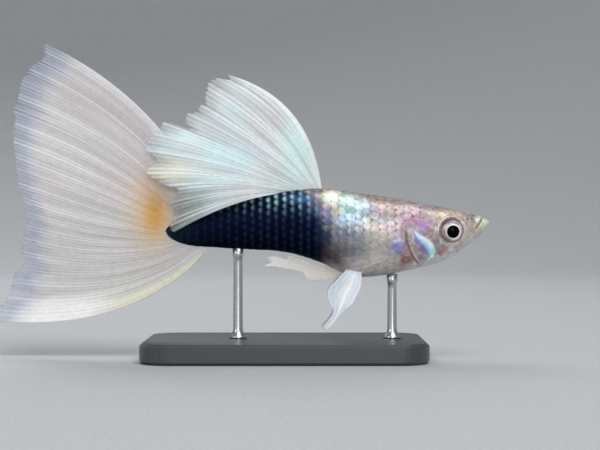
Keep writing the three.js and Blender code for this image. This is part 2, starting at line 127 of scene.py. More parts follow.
def noise(points, size, seed):
    """Smooth seeded noise from 0 to 1 at points of shape (..., 3), with bumps about size across."""
    q = np.asarray(points) / size + seed * 17.31
    cell = np.floor(q).astype(np.int64)
    f = q - cell
    f = f * f * (3 - 2 * f)
    total = np.zeros(q.shape[:-1])
    for corner in range(8):
        d = np.array([corner & 1, corner >> 1 & 1, corner >> 2])
        c = cell + d
        h = (c[..., 0] * 73856093) ^ (c[..., 1] * 19349663) ^ (c[..., 2] * 83492791)
        h = (h ^ (h >> 13)) * 1274126177 & 0x7FFFFFFF
        h = (h ^ (h >> 11)) * 668265263 & 0x7FFFFFFF
        weight = np.prod(np.where(d == 1, f, 1 - f), axis=-1)
        total += weight * (h % 65521) / 65521
    return total


def linear(*rgb):
    """A display colour of three numbers from 0 to 255 as linear light."""
    c = np.array(rgb, float) / 255
    return np.where(c <= 0.04045, c / 12.92, ((c + 0.055) / 1.055) ** 2.4)


def blend(under, over, weight):
    """One colour covered by another as far as weight says."""
    return under + (over - under) * np.asarray(weight)[..., None]


def wash(under, tone, weight):
    """A colour covered by a display colour."""
    return blend(under, linear(*tone), weight)


def paintable(colour):
    return np.clip(colour, 0.001, 0.98)


# The body's surface

def round_off(distance, length):
    return np.sqrt(np.maximum(1 - (1 - np.minimum(distance / length, 1)) ** 2, 0))


def section(at):
    """Top, bottom, widest level and half width of the body at a place along it."""
    snout = round_off(at, SNOUT_ROUND)
    lobe = round_off(BODY_LENGTH - at, LOBE_ROUND)
    lobe_edge = round_off(BODY_LENGTH - at, LOBE_EDGE_ROUND)
    top = JAW_TIP_UP + (smooth(BACK_LINE, at) - JAW_TIP_UP) * snout
    bottom = JAW_TIP_UP + (smooth(BELLY_LINE, at) - JAW_TIP_UP) * snout
    top = LOBE_UP + (top - LOBE_UP) * lobe
    bottom = LOBE_UP + (bottom - LOBE_UP) * lobe
    widest = bottom + (top - bottom) * WIDEST_SHARE
    return top, bottom, widest, smooth(HALF_WIDTHS, at) * snout * lobe_edge


def surface(back, angle):
    """Points (back, y, up) of the body. Angle 0 is the left flank and a quarter turn the back."""
    at = np.clip(back, TIP, BODY_LENGTH - TIP)
    top, bottom, widest, half = section(at)
    across = np.cos(angle)
    rise = np.sin(angle)
    boxiness = np.where(rise > 0, smooth(UPPER_BOXINESS, at), smooth(LOWER_BOXINESS, at))
    reach = np.where(rise > 0, top - widest, widest - bottom)
    up = widest + np.sign(rise) * reach * np.abs(rise) ** (2 / boxiness)
    flare = GILL_FLARE * ramp(back, 4.8, 7.4) * (1 - ramp(back, 8.2, 9.1))
    flare = flare * ramp(up, -3.9, -2.6) * (1 - ramp(up, 0.2, 1.8))
    y = np.sign(across) * (half + flare) * np.abs(across) ** (2 / boxiness)
    return np.stack([at, y, up], axis=-1)


def outward(back, angle):
    """Unit normals of the body."""
    e = 1e-3
    along = surface(back + e, angle) - surface(back - e, angle)
    around = surface(back, angle + e) - surface(back, angle - e)
    n = np.cross(around, along)
    n /= np.maximum(np.linalg.norm(n, axis=-1, keepdims=True), 1e-12)
    middle = surface(back, angle)
    away = np.stack([0 * middle[..., 0], middle[..., 1], middle[..., 2] - section(middle[..., 0])[2]], -1)
    return n * np.where((n * away).sum(-1, keepdims=True) < 0, -1, 1)


def to_frame(points):
    """(back, y, up) in millimetres to the row frame in metres."""
    return np.stack([SNOUT_X - points[..., 0], points[..., 1], AXIS_Z + points[..., 2]], -1) * MM


# Markings

NAVY = linear(3, 8, 26)
# The palest tones, at the belly, are its own pale colour made paler as painted light from below
BASE_TONES = [  # (height above the eye, colour) down the flank
    (-4.6, (240, 236, 234)), (-3.4, (218, 212, 208)), (-2, (156, 157, 156)),
    (-0.4, (160, 157, 156)), (1.2, (153, 149, 152)), (2.6, (160, 149, 144)),
    (4.4, (150, 138, 130)),
]
# Soft patches: (back, up, radius along, radius up, slope, strength, colour)
PATCHES = [
    (8.6, 2.4, 3.4, 1.3, 0.1, 0.65, (168, 150, 154)),
    (10.6, 3.2, 2.4, 0.9, 0.15, 0.55, (178, 164, 154)),
    (7.3, 2.75, 1.6, 0.35, 0.15, 0.6, (206, 198, 200)),
    (7.4, 1.5, 1.2, 0.8, 0.1, 0.75, (158, 112, 146)),
    (8.3, 0.8, 0.7, 0.6, 0.1, 0.6, (140, 110, 140)),
    (6.5, 0.7, 0.6, 0.5, 0.2, 0.8, (170, 128, 206)),
    (6, 0.05, 0.4, 0.5, 0.2, 0.7, (156, 98, 104)),
    (6.8, 0.1, 0.5, 0.3, 0.3, 0.5, (134, 134, 146)),
    (6.4, -0.2, 0.35, 0.4, 0.2, 0.65, (116, 122, 140)),
    (8.9, 0.4, 1.2, 0.7, 0.2, 0.5, (176, 146, 160)),
    (10.9, 0.2, 1.4, 0.9, 0.1, 0.65, (182, 176, 160)),
    (9.9, -0.6, 1, 0.6, 0, 0.6, (192, 188, 174)),
    (13.6, -1.9, 1.7, 1.1, 0, 0.8, (100, 110, 112)),
    (11.3, -2.2, 1.4, 1.1, 0, 0.6, (190, 184, 178)),
    (11.2, -3.4, 3, 0.8, 0, 0.75, (222, 212, 210)),
    (6.9, -2.2, 0.7, 0.9, 0, 0.7, (138, 108, 136)),
    (8.35, -2.75, 0.8, 0.75, 0.2, 0.85, (172, 108, 96)),
    (8.5, -1.4, 0.4, 1.1, 0.3, 0.6, (160, 118, 132)),
    (9.25, -1.4, 0.6, 0.6, 0.2, 0.85, (124, 140, 208)),
    (9.2, -0.85, 0.5, 0.14, 0.3, 0.8, (226, 226, 244)),
    (9.5, -1.65, 0.14, 0.12, 0, 0.8, (232, 232, 248)),
    (9.4, -2.7, 0.35, 0.9, 0.1, 0.6, (204, 190, 184)),
    (5.2, -2.8, 1.6, 0.6, 0.25, 0.75, (212, 204, 206)),
    (4.7, -1.85, 0.6, 0.4, 0.2, 0.75, (164, 122, 138)),
    (4.6, -2.35, 0.4, 0.14, 0.2, 0.85, (238, 228, 240)),
    (3.8, -1.65, 0.36, 0.28, 0.3, 0.9, (226, 242, 242)),
    (3.3, -1.1, 0.5, 0.3, 0, 0.6, (226, 200, 206)),
    (5.45, -0.2, 0.14, 0.7, 0.3, 0.6, (206, 194, 204)),
    (5.6, -0.9, 0.3, 0.5, 0.3, 0.45, (150, 124, 138)),
    (4.1, 1.85, 1.5, 0.4, 0.12, 0.8, (228, 206, 178)),
    (2.3, 0.3, 1, 0.9, 0, 0.75, (190, 180, 164)),
    (1.75, 1.35, 0.6, 0.4, 0.2, 0.6, (150, 146, 126)),
    (1.5, 0.45, 0.35, 0.4, 0.2, 0.6, (146, 136, 92)),
    (2.1, -0.8, 1, 0.6, 0.5, 0.75, (204, 200, 198)),
    (0.85, 0.6, 0.4, 0.35, 0, 0.75, (216, 206, 150)),
    (0.98, 1.46, 0.42, 0.34, 0, 0.95, (236, 238, 208)),
    (0.3, 1.05, 0.5, 0.5, 0, 0.98, (255, 255, 216)),
]
HEAD_MARKS_TO = 5.8
BAND = [  # the iridescent band in front of the dark rear
    (12.6, 1.7, 1.2, 1, 0.45, 0.8, (146, 168, 192)),
    (13.3, 2.6, 1.2, 0.8, 0.3, 0.8, (156, 176, 182)),
    (14.2, 1.6, 0.9, 1, 0.3, 0.75, (162, 200, 208)),
    (13, -0.1, 0.9, 0.8, 0.1, 0.65, (108, 126, 140)),
    (14.4, 0, 1.1, 0.9, 0.2, 0.8, (90, 110, 130)),
    (14.5, 3.1, 0.9, 0.8, 0.2, 0.95, (182, 216, 198)),
    # Pale yellowish-white patches near the base of the dorsal fin: the band's own colour, with a painted
    # highlight on it
    (15.9, 3.7, 0.9, 0.5, 0.1, 0.95, (240, 244, 196)),
    (15.5, 3.9, 0.7, 0.35, 0, 0.8, (255, 252, 226)),
    (15.9, 3.1, 0.7, 0.6, 0.1, 0.8, (226, 238, 226)),
    (17.3, 2.9, 1, 1, 0.3, 0.7, (66, 80, 128)),
    (16.1, 1.2, 1, 1.2, 0.3, 0.8, (72, 84, 114)),
    (16.3, -0.5, 1, 0.8, 0.2, 0.6, (56, 60, 88)),
    (18.6, 3.5, 1.5, 0.5, 0, 0.6, (66, 98, 156)),
    (15.4, -1.9, 1.3, 1.2, 0.2, 0.65, (92, 80, 88)),
]
# Mottling all over the pale parts: (size, noise seed, colour, strength)
MOTTLES = [
    (0.6, 21, (196, 146, 158), 0.32), (0.5, 22, (162, 150, 196), 0.26),
    (0.65, 23, (206, 192, 150), 0.32), (0.3, 24, (240, 238, 240), 0.35),
    (0.24, 25, (108, 96, 92), 0.4),
]
STRIPE = [(7.5, 0), (7.05, -0.5), (6.4, -0.97), (6, -1.42), (5.8, -1.85), (5.82, -2.3), (6.1, -2.8)]
STRIPE_HALF_WIDTHS = [0.07, 0.27, 0.38, 0.44, 0.42, 0.26, 0.09]
COVER_EDGE = [  # (up, back)
    (-3.5, 6.5), (-3.1, 7.05), (-2.5, 7.5), (-1.8, 7.9), (-0.9, 8.2), (0.1, 8.3), (0.9, 8), (1.6, 7),
]
CHEEK_EDGE = [(-2.9, 4.4), (-2.3, 5), (-1.5, 5.35), (-0.3, 5.45), (0.7, 5.25)]


def along_line(back, up, line):
    """Distance from a polyline, positive on its rear side, and the share of the way along it."""
    nearest = np.full(np.shape(back), 9e9)
    share = np.zeros(np.shape(back))
    side = np.ones(np.shape(back))
    for k in range(len(line) - 1):
        a, b = np.array(line[k]), np.array(line[k + 1])
        d = b - a
        t = np.clip(((back - a[0]) * d[0] + (up - a[1]) * d[1]) / (d @ d), 0, 1)
        gap = np.hypot(back - a[0] - t * d[0], up - a[1] - t * d[1])
        closer = gap < nearest
        share = np.where(closer, (k + t) / (len(line) - 1), share)
        side = np.where(closer, np.sign(d[0] * (up - a[1]) - d[1] * (back - a[0])), side)
        nearest = np.minimum(nearest, gap)
    return nearest * side, share


def cover_offset(back, up):
    return back - np.interp(up, *np.array(COVER_EDGE).T)


def spot_weight(back, up, oval, sharpness=1.3):
    """How strongly a soft oval spot shows at each place."""
    b, u, along, high, slope, strength = oval
    q = ((back - b) / along) ** 2 + ((up - u - slope * (b - back)) / high) ** 2
    return strength * np.exp(-(q**sharpness))


def skin_colour(points):
    """The colour of the skin at points of the body, and how far they lie in the dark rear."""
    back, up = points[..., 0], points[..., 2]
    drift = noise(points, 1.6, 3) - 0.5
    fine = noise(points, 0.32, 4) - 0.5
    b = back + 0.9 * drift
    u = up + 0.5 * (noise(points, 1.3, 5) - 0.5)
    tones = np.array([linear(*tone) for _, tone in BASE_TONES])
    heights = [h for h, _ in BASE_TONES]
    colour = np.stack([np.interp(up, heights, tones[:, k]) for k in range(3)], -1)
    top, bottom, _, _ = section(np.clip(back, TIP, BODY_LENGTH - TIP))
    colour = wash(colour, (126, 110, 100), 0.6 * ramp(up - top, -0.8, 0.0) * ramp(back, 3, 6))
    quiet = 1 - 0.35 * ramp(back, 8.5, 10)
    for size, seed, tone, strength in MOTTLES:
        colour = wash(colour, tone, quiet * strength * ramp(noise(points, size, seed), 0.5, 0.8))
    steady = (back + 0.3 * fine, up + 0.3 * (noise(points, 0.5, 5) - 0.5))
    for *oval, tone in PATCHES:
        where = (b, u) if oval[0] > HEAD_MARKS_TO else steady
        colour = wash(colour, tone, spot_weight(*where, oval))
    for size, seed, tone, strength in MOTTLES:
        grain = ramp(noise(points, 0.8 * size, seed + 10), 0.55, 0.85)
        colour = wash(colour, tone, 0.6 * quiet * strength * grain)
    # The dark rear, its front edge slanting forward towards the belly
    edge = np.interp(up, [-4, -2.6, 0, 2.5, 4.4], [14.9, 15.6, 16.4, 17.3, 18.2])
    dark = ramp(back + 2.0 * drift + 1.1 * fine, edge - 1.1, edge + 0.9)
    tone = wash(NAVY, (8, 17, 50), ramp(up, -1.5, 3.5) * 0.6)
    tone = wash(tone, (22, 42, 58), 0.55 * ramp(back, 27.5, 32))
    colour = blend(colour, tone, dark)
    for *oval, tone in BAND:
        colour = wash(colour, tone, (1 - 0.25 * ramp(back, 19, 21)) * spot_weight(b, u, oval))
    shadow = between(back, 14.4, 16.4, 0.6) * (1 - ramp(up, -2.2, -0.6))
    colour = wash(colour, (86, 76, 74), 0.5 * shadow)
    # The pale line along the belly: its own pale colour, laid on more broadly as painted light from below
    pale_line = (1 - ramp(up - bottom, 0.15, 1.0)) * (1 - ramp(back, 15, 17))
    colour = wash(colour, (216, 214, 212), 0.65 * pale_line)
    # Gill cover
    gap, share = along_line(back + 0.2 * drift + 0.12 * fine, up + 0.2 * fine, STRIPE)
    across = gap / np.interp(share, np.linspace(0, 1, len(STRIPE)), STRIPE_HALF_WIDTHS)
    stripe = wash(linear(206, 240, 250), (150, 190, 230), ramp(across, -0.2, 0.8))
    stripe = wash(stripe, (120, 232, 228), 0.8 * ramp(share, 0.4, 0.7) * bell(across - 0.1, 0.7))
    glints = bell(across + 0.4, 0.5) * ramp(noise(points, 0.35, 16), 0.2, 0.5)
    stripe = wash(stripe, (250, 254, 255), 0.95 * glints)
    violet = between(across, 0.3, 2.4, 0.6) * (1 - ramp(share, 0.55, 0.9))
    colour = wash(colour, (106, 110, 180), 0.6 * violet)
    colour = blend(colour, stripe, 0.95 * (1 - ramp(np.abs(across), 0.75, 1.2)))
    on_cover = ramp(up, -3.5, -3.1) * (1 - ramp(up, -0.2, 0.6))
    edge_gap = cover_offset(back + 0.1 * drift, up)
    pale = on_cover * (1 - ramp(up, -2.2, -1.2))
    colour = wash(colour, (230, 216, 232), 0.75 * bell(edge_gap + 0.12, 0.1) * pale)
    # A purplish dark line just behind the cover's edge: painted shade under the edge
    colour = wash(colour, (112, 76, 92), 0.5 * bell(edge_gap - 0.1, 0.13) * on_cover)
    cheek = back - np.interp(up, *np.array(CHEEK_EDGE).T)
    # A darker line in the groove along the cheek's edge: painted shade in the crease
    colour = wash(colour, (130, 100, 114), 0.3 * bell(cheek, 0.12) * between(up, -2.4, 0.1, 0.5))
    # Round the eye: a pale rim, and a shadowed groove behind and above it
    eye = np.hypot(back - EYE_BACK, up - EYE_UP)
    rearward = 0.5 + 0.5 * (0.8 * (back - EYE_BACK) + 0.6 * (up - EYE_UP)) / np.maximum(eye, 0.1)
    patchy = ramp(noise(points, 0.5, 17), 0.25, 0.7)
    colour = wash(colour, (222, 206, 204), (0.25 + 0.5 * patchy) * between(eye, 1.36, 1.6, 0.12))
    colour = wash(colour, (98, 88, 88), (0.2 + 0.6 * rearward) * bell(eye - 1.26, 0.11))
    colour = wash(colour, (236, 226, 226), 0.6 * (1 - rearward) * patchy * bell(eye - 1.22, 0.08))
    # Mouth: its slit painted dark, as painted shade in the cleft, darker where it gapes
    slit, is_mouth, gape = mouth(back, up)
    slit_shade = bell(slit, 0.05 + 0.04 * gape) * is_mouth
    colour = wash(colour, (72, 62, 40), (0.55 + 0.3 * gape) * slit_shade)
    # Freckles of pigment on the back and snout
    specks = ramp(noise(points, 0.22, 8), 0.66, 0.8) * ramp(up, 0.2, 1.6) * (1 - dark)
    colour = wash(colour, (70, 56, 50), 0.4 * specks)
    shade = 1 + 0.28 * fine + 0.22 * drift
    return paintable(colour * shade[..., None]), dark


# Relief of the skin

def mouth(back, up):
    """Signed distance from the slit of the mouth, how open it is there, and how near the gape's front."""
    a, b = np.array([0.62, 1.5]), np.array([1.45, 0.15])
    d = (b - a) / np.linalg.norm(b - a)
    along = (back - a[0]) * d[0] + (up - a[1]) * d[1]
    slit = (back - a[0]) * -d[1] + (up - a[1]) * d[0]
    return slit, 1 - ramp(along, 1.2, 1.6), 1 - ramp(along, 0.0, 0.6)


def coat_depth(back):
    """How far the skin lies inside the solids."""
    return BARE_DEPTH + (COAT_DEPTH - BARE_DEPTH) * ramp(back, 4.5, 8.5)


def relief(points):
    """How far the skin stands out of the body's surface at points of it."""
    back, up = points[..., 0], points[..., 2]
    out = -coat_depth(back)
    slit, is_mouth, gape = mouth(back, up)
    near = 1 - ramp(back, 1.7, 2.1)
    cut = (0.13 + 0.32 * gape) * bell(slit, 0.05 + 0.06 * gape)
    out = out + near * is_mouth * (0.06 * bell(np.abs(slit) - 0.2, 0.11) - cut)
    out = out + 0.12 * bell(np.hypot(back - 0.98, up - 1.46), 0.27)
    out = out + 0.13 * bell(np.hypot(back - 0.26, up - 1.1), 0.32)
    for b, u, r in ((2.15, 1.32, 0.13), (1.72, 1.36, 0.09)):
        gap = np.hypot(back - b, up - u)
        out = out - 0.16 * bell(gap, r) + 0.04 * bell(gap - 1.6 * r, 0.6 * r)
    # Folds of the lower jaw and the throat
    jaw, share = along_line(back, up, [(1.5, 0.0), (2.2, -0.7), (3.0, -1.5), (4.2, -2.35)])
    out = out - 0.05 * bell(jaw, 0.07) * (1 - ramp(share, 0.8, 1))
    eye = np.hypot(back - EYE_BACK, up - EYE_UP)
    brow = 0.55 + 0.45 * ramp(0.6 * (back - EYE_BACK) + 0.8 * (up - EYE_UP), -1.2, 1.2)
    out = out + 0.1 * brow * bell(eye - 1.42, 0.19) - 0.02 * bell(eye - 1.72, 0.14)
    on_cover = ramp(up, -3.6, -3.2) * (1 - ramp(up, 0.0, 1.0))
    s = cover_offset(back, up)
    swell = 0.07 * ramp(s, -2.2, -0.1) * (1 - ramp(s, -0.04, 0.14))
    out = out + on_cover * (swell - 0.05 * bell(s - 0.18, 0.14))
    cheek = back - np.interp(up, *np.array(CHEEK_EDGE).T)
    out = out + (0.03 * bell(cheek + 0.2, 0.13) - 0.05 * bell(cheek, 0.09)) * between(up, -2.7, 0.4, 0.25)
    # The skin is uneven only where it is bare, so that it stays under the scales.
    bare = 1 - 0.9 * ramp(back, 4.8, 7.2)
    return out + bare * (0.035 * (noise(points, 0.9, 11) - 0.5) + 0.015 * (noise(points, 0.3, 12) - 0.5))


# Meshes

def make_object(name, points, faces, material, colours=None, alpha=None):
    """A mesh of points in the row frame, with its colours as a named attribute."""
    mesh = bpy.data.meshes.new(name)
    mesh.from_pydata(np.asarray(points).reshape(-1, 3).tolist(), [], [list(map(int, f)) for f in faces])
    mesh.polygons.foreach_set("use_smooth", [True] * len(mesh.polygons))
    if colours is not None:
        rgba = np.ones((len(mesh.vertices), 4), np.float32)
        rgba[:, :3] = np.asarray(colours).reshape(-1, 3)
        if alpha is not None:
            rgba[:, 3] = np.asarray(alpha).reshape(-1)
        tint = mesh.color_attributes.new("Tint", "FLOAT_COLOR", "POINT")
        tint.data.foreach_set("color", rgba.ravel())
    mesh.materials.append(material)
    mesh.update()
    obj = bpy.data.objects.new(name, mesh)
    bpy.context.scene.collection.objects.link(obj)
    return obj


def grid_faces(rows, columns, closed=False):
    """Quads of a grid of points, wrapping round where closed."""
    r = np.arange(rows - 1)[:, None]
    c = np.arange(columns if closed else columns - 1)[None, :]
    a = r * columns + c
    b = r * columns + (c + 1) % columns
    return np.stack([a, b, b + columns, a + columns], -1).reshape(-1, 4).tolist()


def fan_faces(hub, first, around):
    """Triangles from a hub to a ring of points."""
    return [[hub, first + (k + 1) % around, first + k] for k in range(around)]


def slab_faces(rows, columns):
    """Quads of a sheet with a thickness: two layers of a grid, and the edge."""
    layer = rows * columns
    upper = np.array(grid_faces(rows, columns))
    path = (
        list(range(columns)) + [r * columns + columns - 1 for r in range(1, rows)]
        + [(rows - 1) * columns + c for c in range(columns - 2, -1, -1)]
        + [r * columns for r in range(rows - 2, 0, -1)]
    )
    edge = [[b, a, a + layer, b + layer] for a, b in zip(path, path[1:] + path[:1])]
    return np.vstack([upper, upper[:, ::-1] + layer, edge])


def full_turn(around):
    return np.linspace(0, 2 * math.pi, around, endpoint=False)


def turned(profile, around, x=0.0):
    """Rings of points round an upright axis at x, through a profile of (radius, height)."""
    turn = full_turn(around)
    return np.array([
        np.stack([x + r * np.cos(turn), r * np.sin(turn), np.full(around, z)], -1) for r, z in profile
    ])


def material(name, roughness, metallic=0.0, coat=0.0, coat_roughness=0.1, tint=None, see_through=False,
             bump=None, subsurface=0.0, specular=0.5):
    """A surface whose colour comes from the Tint attribute or from tint, varied by noise."""
    mat = bpy.data.materials.new(name)
    mat.use_nodes = True
    nodes, links = mat.node_tree.nodes, mat.node_tree.links
    shader = nodes["Principled BSDF"]
    values = {
        "Metallic": metallic, "Roughness": roughness, "Coat Weight": coat, "Coat Roughness": coat_roughness,
        "Specular IOR Level": specular, "Subsurface Weight": subsurface, "Subsurface Scale": 0.0004,
        "Subsurface Radius": (1, 1, 1),
    }
    for socket, value in values.items():
        shader.inputs[socket].default_value = value
    place = nodes.new("ShaderNodeTexCoord")

    def grain(scale, detail):
        texture = nodes.new("ShaderNodeTexNoise")
        texture.inputs["Scale"].default_value = scale
        texture.inputs["Detail"].default_value = detail
        links.new(place.outputs["Object"], texture.inputs["Vector"])
        return texture.outputs["Fac"]

    if tint is None:
        source = nodes.new("ShaderNodeVertexColor")
        source.layer_name = "Tint"
        if see_through:
            links.new(source.outputs["Alpha"], shader.inputs["Alpha"])
    else:
        source = nodes.new("ShaderNodeRGB")
        source.outputs[0].default_value = (*tint, 1)
    spread = nodes.new("ShaderNodeMapRange")
    spread.inputs["To Min"].default_value = 0.84
    spread.inputs["To Max"].default_value = 1.14
    links.new(grain(2600, 3), spread.inputs["Value"])
    shade = nodes.new("ShaderNodeVectorMath")
    shade.operation = "MULTIPLY"
    links.new(source.outputs["Color"], shade.inputs[0])
    links.new(spread.outputs["Result"], shade.inputs[1])
    links.new(shade.outputs["Vector"], shader.inputs["Base Color"])
    if bump:
        size, height = bump
        relief_node = nodes.new("ShaderNodeBump")
        relief_node.inputs["Distance"].default_value = height
        relief_node.inputs["Strength"].default_value = 0.6
        links.new(grain(1 / size, 4), relief_node.inputs["Height"])
        links.new(relief_node.outputs["Normal"], shader.inputs["Normal"])
    return mat


def ride(obj, slot_name, *nodes):
    """Put a piece on the one body, in place of the nodes it covers."""
    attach(obj, "root")
    if nodes:
        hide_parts(*nodes)


# Skin

SKIN = material("moist_skin", 0.38, metallic=0.3, coat=0.06, coat_roughness=0.2, specular=0.12,
                bump=(0.00012, 0.00002))
SCALE = material("scales", 0.36, metallic=0.45, specular=0.02, bump=(0.0001, 0.00001))


SKIN_AROUND = 176


def build_skin():
    """One skin over the head, the gill covers, the trunk and the tail stem."""
    backs = np.concatenate([
        0.004 + 0.2 * np.linspace(0, 1, 9)[:-1] ** 2,
        np.arange(0.21, 2.4, 0.045),
        np.arange(2.4, 9.2, 0.07),
        np.arange(9.2, BODY_LENGTH - 1.2, 0.12),
        BODY_LENGTH - 1.2 + 1.196 * np.sin(np.linspace(0, math.pi / 2, 18)),
    ])
    back, angle = np.broadcast_arrays(backs[:, None], full_turn(SKIN_AROUND)[None, :])
    points = surface(back, angle)
    colour, _ = skin_colour(points)
    # The relief fades out at the very tips, where the surface closes.
    fade = ramp(back, 0.0, 0.08) * (1 - ramp(back, BODY_LENGTH - 0.06, BODY_LENGTH))
    lift = relief(points) * fade - BARE_DEPTH * (1 - fade)
    placed = points + outward(back, angle) * lift[..., None]
    # The lower jaw's lip juts out in front.
    placed[..., 0] = np.maximum(placed[..., 0], 0.02)
    placed[..., 0] -= 0.12 * bell(placed[..., 2] - 0.98, 0.36) * (1 - ramp(back, 0.0, 0.5))
    # Eye sockets
    eye = np.hypot(placed[..., 0] - EYE_BACK, placed[..., 2] - EYE_UP)
    rise = ramp(eye, SOCKET_RADIUS, SOCKET_EDGE_RADIUS)
    sunk = SOCKET_FLOOR_Y + (np.abs(placed[..., 1]) - SOCKET_FLOOR_Y) * rise
    in_socket = (eye < SOCKET_EDGE_RADIUS) & (np.abs(points[..., 1]) > 1)
    placed[..., 1] = np.where(in_socket, np.sign(points[..., 1]) * sunk, placed[..., 1])
    # The skin inside each socket painted darker: painted shade in the socket round the eyeball
    colour = wash(colour, (118, 100, 104), 0.8 * (1 - ramp(eye, 1.0, 1.1)))
    total = placed.size // 3
    forward = grid_faces(len(backs), SKIN_AROUND, closed=True) + fan_faces(total, 0, SKIN_AROUND)
    faces = [f[::-1] for f in forward] + fan_faces(total + 1, total - SKIN_AROUND, SKIN_AROUND)
    every = np.vstack([placed.reshape(-1, 3), placed[0].mean(0)[None], placed[-1].mean(0)[None]])
    tints = np.vstack([colour.reshape(-1, 3), colour[0, :1], colour[-1, :1]])
    skin = make_object("skin", to_frame(every), faces, SKIN, tints)
    ride(skin, "skin_trunk", "head", "gill_cover_left", "gill_cover_right", "trunk", "tail_stem")


# Scales

SCALES_FROM = 7.0
SCALE_PITCH = 0.8
ROW_PITCH = 0.74
ROWS_EACH_WAY = 14
SCALE_LENGTH = 1.22
SCALE_WIDTH = 0.86
SCALE_GAP = 0.002  # how far a scale's root lies above the skin
SCALE_RISE = 0.029  # how much higher its free edge lies
SCALE_ARCH = 0.01  # how much lower its sides lie
SCALE_SINK = 0.07  # how far its underside lies below the skin
# Places along and across a scale, close together at its free edge
ALONG = np.array([0, 0.2, 0.38, 0.5, 0.625, 0.75, 0.87, 0.96, 1])[None, :, None]
ACROSS = np.array([-1, -0.88, -0.6, -0.3, 0, 0.3, 0.6, 0.88, 1])[None, None, :]
UNWRAP_MARGIN = 0.02
UNWRAP_SPAN = 0.95
UNWRAP_PATCH = 0.003
ARC_PLACES = 240
ARC_ANGLES = 181


def arc_table():
    """The length of the arc from the flank's middle to each angle, at places along the body."""
    places = np.linspace(0.1, BODY_LENGTH - 0.1, ARC_PLACES)
    angles = np.linspace(-math.pi / 2, math.pi / 2, ARC_ANGLES)
    ring = surface(*np.broadcast_arrays(places[:, None], angles[None, :]))
    steps = np.linalg.norm(np.diff(ring, axis=1), axis=-1)
    arcs = np.concatenate([np.zeros((ARC_PLACES, 1)), np.cumsum(steps, axis=1)], axis=1)
    return places, angles, arcs - arcs[:, ARC_ANGLES // 2, None]


PLACES, ANGLES, ARCS = arc_table()


def angle_at(back, arc):
    """The angle of a point an arc above or below the flank's middle."""
    row = np.clip((back - PLACES[0]) / (PLACES[1] - PLACES[0]), 0, len(PLACES) - 1.001)
    low = row.astype(int)
    share = row - low
    out = np.empty(back.shape)
    for r in np.unique(low):
        here = low == r
        one = np.interp(arc[here], ARCS[r], ANGLES)
        two = np.interp(arc[here], ARCS[r + 1], ANGLES)
        out[here] = one + (two - one) * share[here]
    return out


def scale_seats(rng):
    """The root (back, arc) of each scale, in staggered rows behind the gill cover and on the nape."""
    seats = []
    for i in range(int((BODY_LENGTH - SCALES_FROM) / SCALE_PITCH)):
        back = SCALES_FROM + i * SCALE_PITCH
        low = np.interp(back, PLACES, ARCS[:, 0])
        high = np.interp(back, PLACES, ARCS[:, -1])
        for row in range(-ROWS_EACH_WAY, ROWS_EACH_WAY + 1):
            arc = (row + 0.5 * (i % 2)) * ROW_PITCH
            if low + 0.15 < arc < high + 0.1:
                seats.append((back, arc))
    seats = np.array(seats)
    back = seats[:, 0]
    up = surface(back, angle_at(back, seats[:, 1]))[:, 2]
    behind_cover = cover_offset(back - 0.15, up) > 0
    on_nape = (up > 1.3) & (back > 5.0)
    seats = seats[(behind_cover | on_nape) & (back < BODY_LENGTH - 0.9)]
    return seats + rng.uniform(-0.04, 0.04, seats.shape)


def scale_colours(rng, base):
    """The skin's colours, each scale with its own shade and spot, and a painted highlight on the spot."""
    back, height = base[..., 0], base[..., 2]
    colour, dark = skin_colour(base)
    middle = base[:, ALONG.size // 2, ACROSS.size // 2]
    flash = between(middle[:, 0], 11.5, 17.5, 0.8) * ramp(middle[:, 2], -0.5, 1.5)
    shine = rng.normal(0, 1, (len(base), 3)) * np.array([0.035, 0.03, 0.05]) * (1 + 1.4 * flash)[:, None]
    shade = rng.uniform(-0.05, 0.07, len(base)) * (1 + 3 * flash)
    colour = colour * (1 + shine[:, None, None, :] + shade[:, None, None, None])
    # A pale blue-grey spot on each dark scale, and a darker rear rim elsewhere
    glow = (0.26 + 0.7 * ramp(height, 1.6, 3.2)) * (1 - 0.55 * ramp(back, 21.5, 29))
    glow = glow * rng.uniform(0.55, 1.25, len(base))[:, None, None]
    spot = bell(np.hypot((ALONG - 0.625) / 0.12, ACROSS / 0.7), 1.0)
    spot_tone = wash(linear(58, 80, 122), (160, 206, 214), ramp(height, 0.8, 3.4))
    colour = blend(colour, spot_tone, np.clip(dark * spot * glow, 0, 1))
    rim = ramp(np.maximum(np.abs(ACROSS) * 0.9, 1.25 * ALONG - 0.15), 0.72, 1.0)
    colour = colour * (1 - 0.04 * rim * (1 - dark))[..., None]
    # A whitish-cyan painted highlight on each scale's spot: faint on the pale scales, bright on scattered
    # scales of the iridescent band.
    band = between(back, 12, 18.5, 0.8) * ramp(height, -1.0, 1.5)
    painted_glint = 0.1 + 0.7 * band * rng.uniform(0, 1, len(base))[:, None, None] ** 2
    return wash(colour, (226, 242, 244), painted_glint * (1 - 0.96 * dark) * spot)


def scale_unwrap(side, seats):
    """Places on an unwrap of the body, where each scale's patch lies at its root."""
    turn = angle_at(seats[:, 0], seats[:, 1])
    turn = turn if side > 0 else math.pi - turn
    shares = np.stack([seats[:, 0] / BODY_LENGTH, turn % (2 * math.pi) / (2 * math.pi)], -1)
    patch = np.stack(np.broadcast_arrays((ALONG - 0.5) * UNWRAP_PATCH, ACROSS * UNWRAP_PATCH / 2), -1)
    both = np.concatenate([patch, patch], axis=1).reshape(1, -1, 2)
    return (UNWRAP_MARGIN + UNWRAP_SPAN * shares[:, None, :] + both).reshape(-1, 2)


